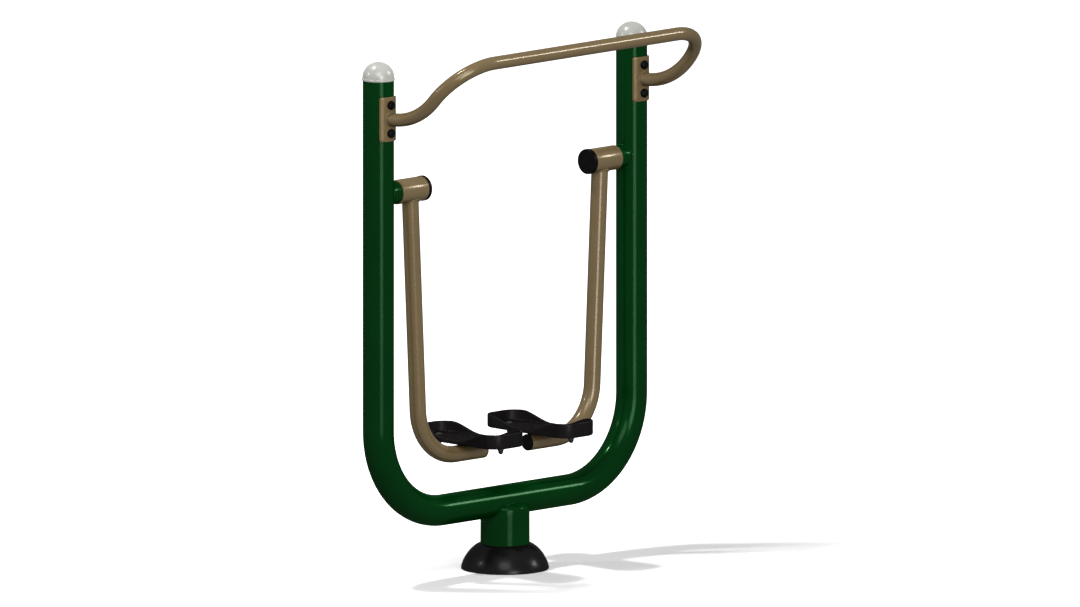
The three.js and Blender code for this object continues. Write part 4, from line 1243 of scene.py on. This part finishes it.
# Multiples of the oval where the glow starts and stops growing, then its levels there
GLOW_SPAN = (1.0, 3.5, 0.04, 0.97)

camera_turn = Matrix.Rotation(CAMERA_AZIMUTH, 3, "Z") @ Matrix.Rotation(
    math.pi / 2 - CAMERA_ELEVATION, 3, "X"
)
RIGHT = camera_turn @ X_AXIS
UP = camera_turn @ Y_AXIS
TOWARD = camera_turn @ Z_AXIS

# Name, direction, distance, width, height and watts. Upright tubes mirror the lower edge of
# the strip lamp as a streak, level ones the right lamp.
LAMPS = (
    ("key_lamp", UP * 0.42 + TOWARD * 0.91, 6.0, 2.8, 2.8, 200),
    ("top_lamp", RIGHT * -0.41 + UP * 0.90 + TOWARD * 0.15, 6.0, 0.45, 0.45, 255),
    ("left_lamp", RIGHT * -0.89 + UP * 0.41 + TOWARD * 0.22, 6.0, 0.45, 0.45, 48),
    ("right_lamp", RIGHT * 0.898 + UP * 0.440 - TOWARD * 0.019, 40.0, 5.5, 5.5, 5600),
    ("strip_lamp", Vector((-0.375, -0.927, 0.0625)), 40.0, 15.5, 19.4, 14500),
)


def make_camera():
    data = bpy.data.cameras.new("photo_camera")
    data.type = "ORTHO"
    data.ortho_scale = PHOTO_WIDTH / PIXELS_PER_METRE
    data.clip_end = CAMERA_SIGHT
    camera = bpy.data.objects.new("photo_camera", data)
    aim = RIGHT * (PHOTO_WIDTH / 2 - ORIGIN_PIXEL[0]) / PIXELS_PER_METRE
    aim += UP * (ORIGIN_PIXEL[1] - PHOTO_HEIGHT / 2) / PIXELS_PER_METRE
    camera.matrix_world = Matrix.Translation(aim + TOWARD * CAMERA_DISTANCE) @ camera_turn.to_4x4()
    bpy.context.scene.collection.objects.link(camera)
    bpy.context.scene.camera = camera


def make_lamp(name, direction, distance, width, height, watts):
    """A lamp aimed at the object's middle, itself out of the camera's sight."""
    data = bpy.data.lights.new(name, "AREA")
    data.shape = "RECTANGLE"
    data.size = width
    data.size_y = height
    data.energy = watts
    lamp = bpy.data.objects.new(name, data)
    lamp.location = LAMP_AIM + direction.normalized() * distance
    lamp.rotation_euler = direction.to_track_quat("Z", "Y").to_euler()
    lamp.visible_camera = False
    bpy.context.scene.collection.objects.link(lamp)


def graph(tree):
    """A short way to add nodes to a tree; inputs go by order, and None leaves one alone."""

    def node(kind, *inputs, **settings):
        made = tree.nodes.new(kind)
        for key, value in settings.items():
            setattr(made, key, value)
        for socket, value in zip(made.inputs, inputs):
            if isinstance(value, bpy.types.NodeSocket):
                tree.links.new(value, socket)
            elif value is not None:
                socket.default_value = value
        return made.outputs

    return node


def seen_rays(node):
    """1 for the rays that show a background: the camera's, and mirrored and refracted ones."""
    path = node("ShaderNodeLightPath")
    seen = path["Is Camera Ray"]
    for other in ("Is Glossy Ray", "Is Transmission Ray"):
        seen = node("ShaderNodeMath", seen, path[other], operation="MAXIMUM")["Value"]
    return seen


def make_world():
    world = bpy.data.worlds.new("studio")
    world.use_nodes = True
    world.node_tree.nodes.clear()
    node = graph(world.node_tree)
    level = node("ShaderNodeMapRange", seen_rays(node), 0.0, 1.0, WORLD_LEVEL, 1.0)["Result"]
    light = node("ShaderNodeBackground", (1, 1, 1, 1), level)["Background"]
    node("ShaderNodeOutputWorld", light)
    bpy.context.scene.world = world


def make_floor():
    """A pale floor that reads as white where no shadow falls.

    Its glow grows outside an oval round the foot, so that the shadows fade out there, and gives
    the object no light. Mirrored rays pass the floor and see the lower part of the strip lamp.
    """
    mesh = bpy.data.meshes.new("floor")
    near, far = -FLOOR_REACH, FLOOR_REACH
    corners = [(near, near), (far, near), (far, far), (near, far)]
    mesh.from_pydata([(x, y, FLOOR_LEVEL) for x, y in corners], [], [(0, 1, 2, 3)])
    floor = bpy.data.objects.new("floor", mesh)
    bpy.context.scene.collection.objects.link(floor)
    floor.visible_glossy = False
    floor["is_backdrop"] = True
    material = bpy.data.materials.new("floor_paint")
    material.use_nodes = True
    material.node_tree.nodes.clear()
    node = graph(material.node_tree)
    seen = seen_rays(node)
    place = node("ShaderNodeNewGeometry")["Position"]
    scale = (1.0 / GLOW_OVAL[0], 1.0 / GLOW_OVAL[1], 0.0)
    start = (-GLOW_MIDDLE[0] * scale[0], -GLOW_MIDDLE[1] * scale[1], 0.0)
    oval = node("ShaderNodeVectorMath", place, scale, start, operation="MULTIPLY_ADD")["Vector"]
    away = node("ShaderNodeVectorMath", oval, operation="LENGTH")["Value"]
    spread = node("ShaderNodeMapRange", away, *GLOW_SPAN)["Result"]
    strength = node("ShaderNodeMath", spread, seen, operation="MULTIPLY")["Value"]
    glow = node("ShaderNodeEmission", None, strength)["Emission"]
    shade = node("ShaderNodeMapRange", seen, 0.0, 1.0, FLOOR_BOUNCE, FLOOR_SHADE)["Result"]
    diffuse = node("ShaderNodeBsdfDiffuse", shade)["BSDF"]
    both = node("ShaderNodeAddShader", glow, diffuse)["Shader"]
    node("ShaderNodeOutputMaterial", both)
    mesh.materials.append(material)


make_camera()
make_world()
make_floor()
for lamp_values in LAMPS:
    make_lamp(*lamp_values)

bpy.context.scene.view_settings.view_transform = "Standard"

boxes = {"cad": cad_bounds, "visual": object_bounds()}
{name: [list(corner) for corner in box] for name, box in boxes.items()}
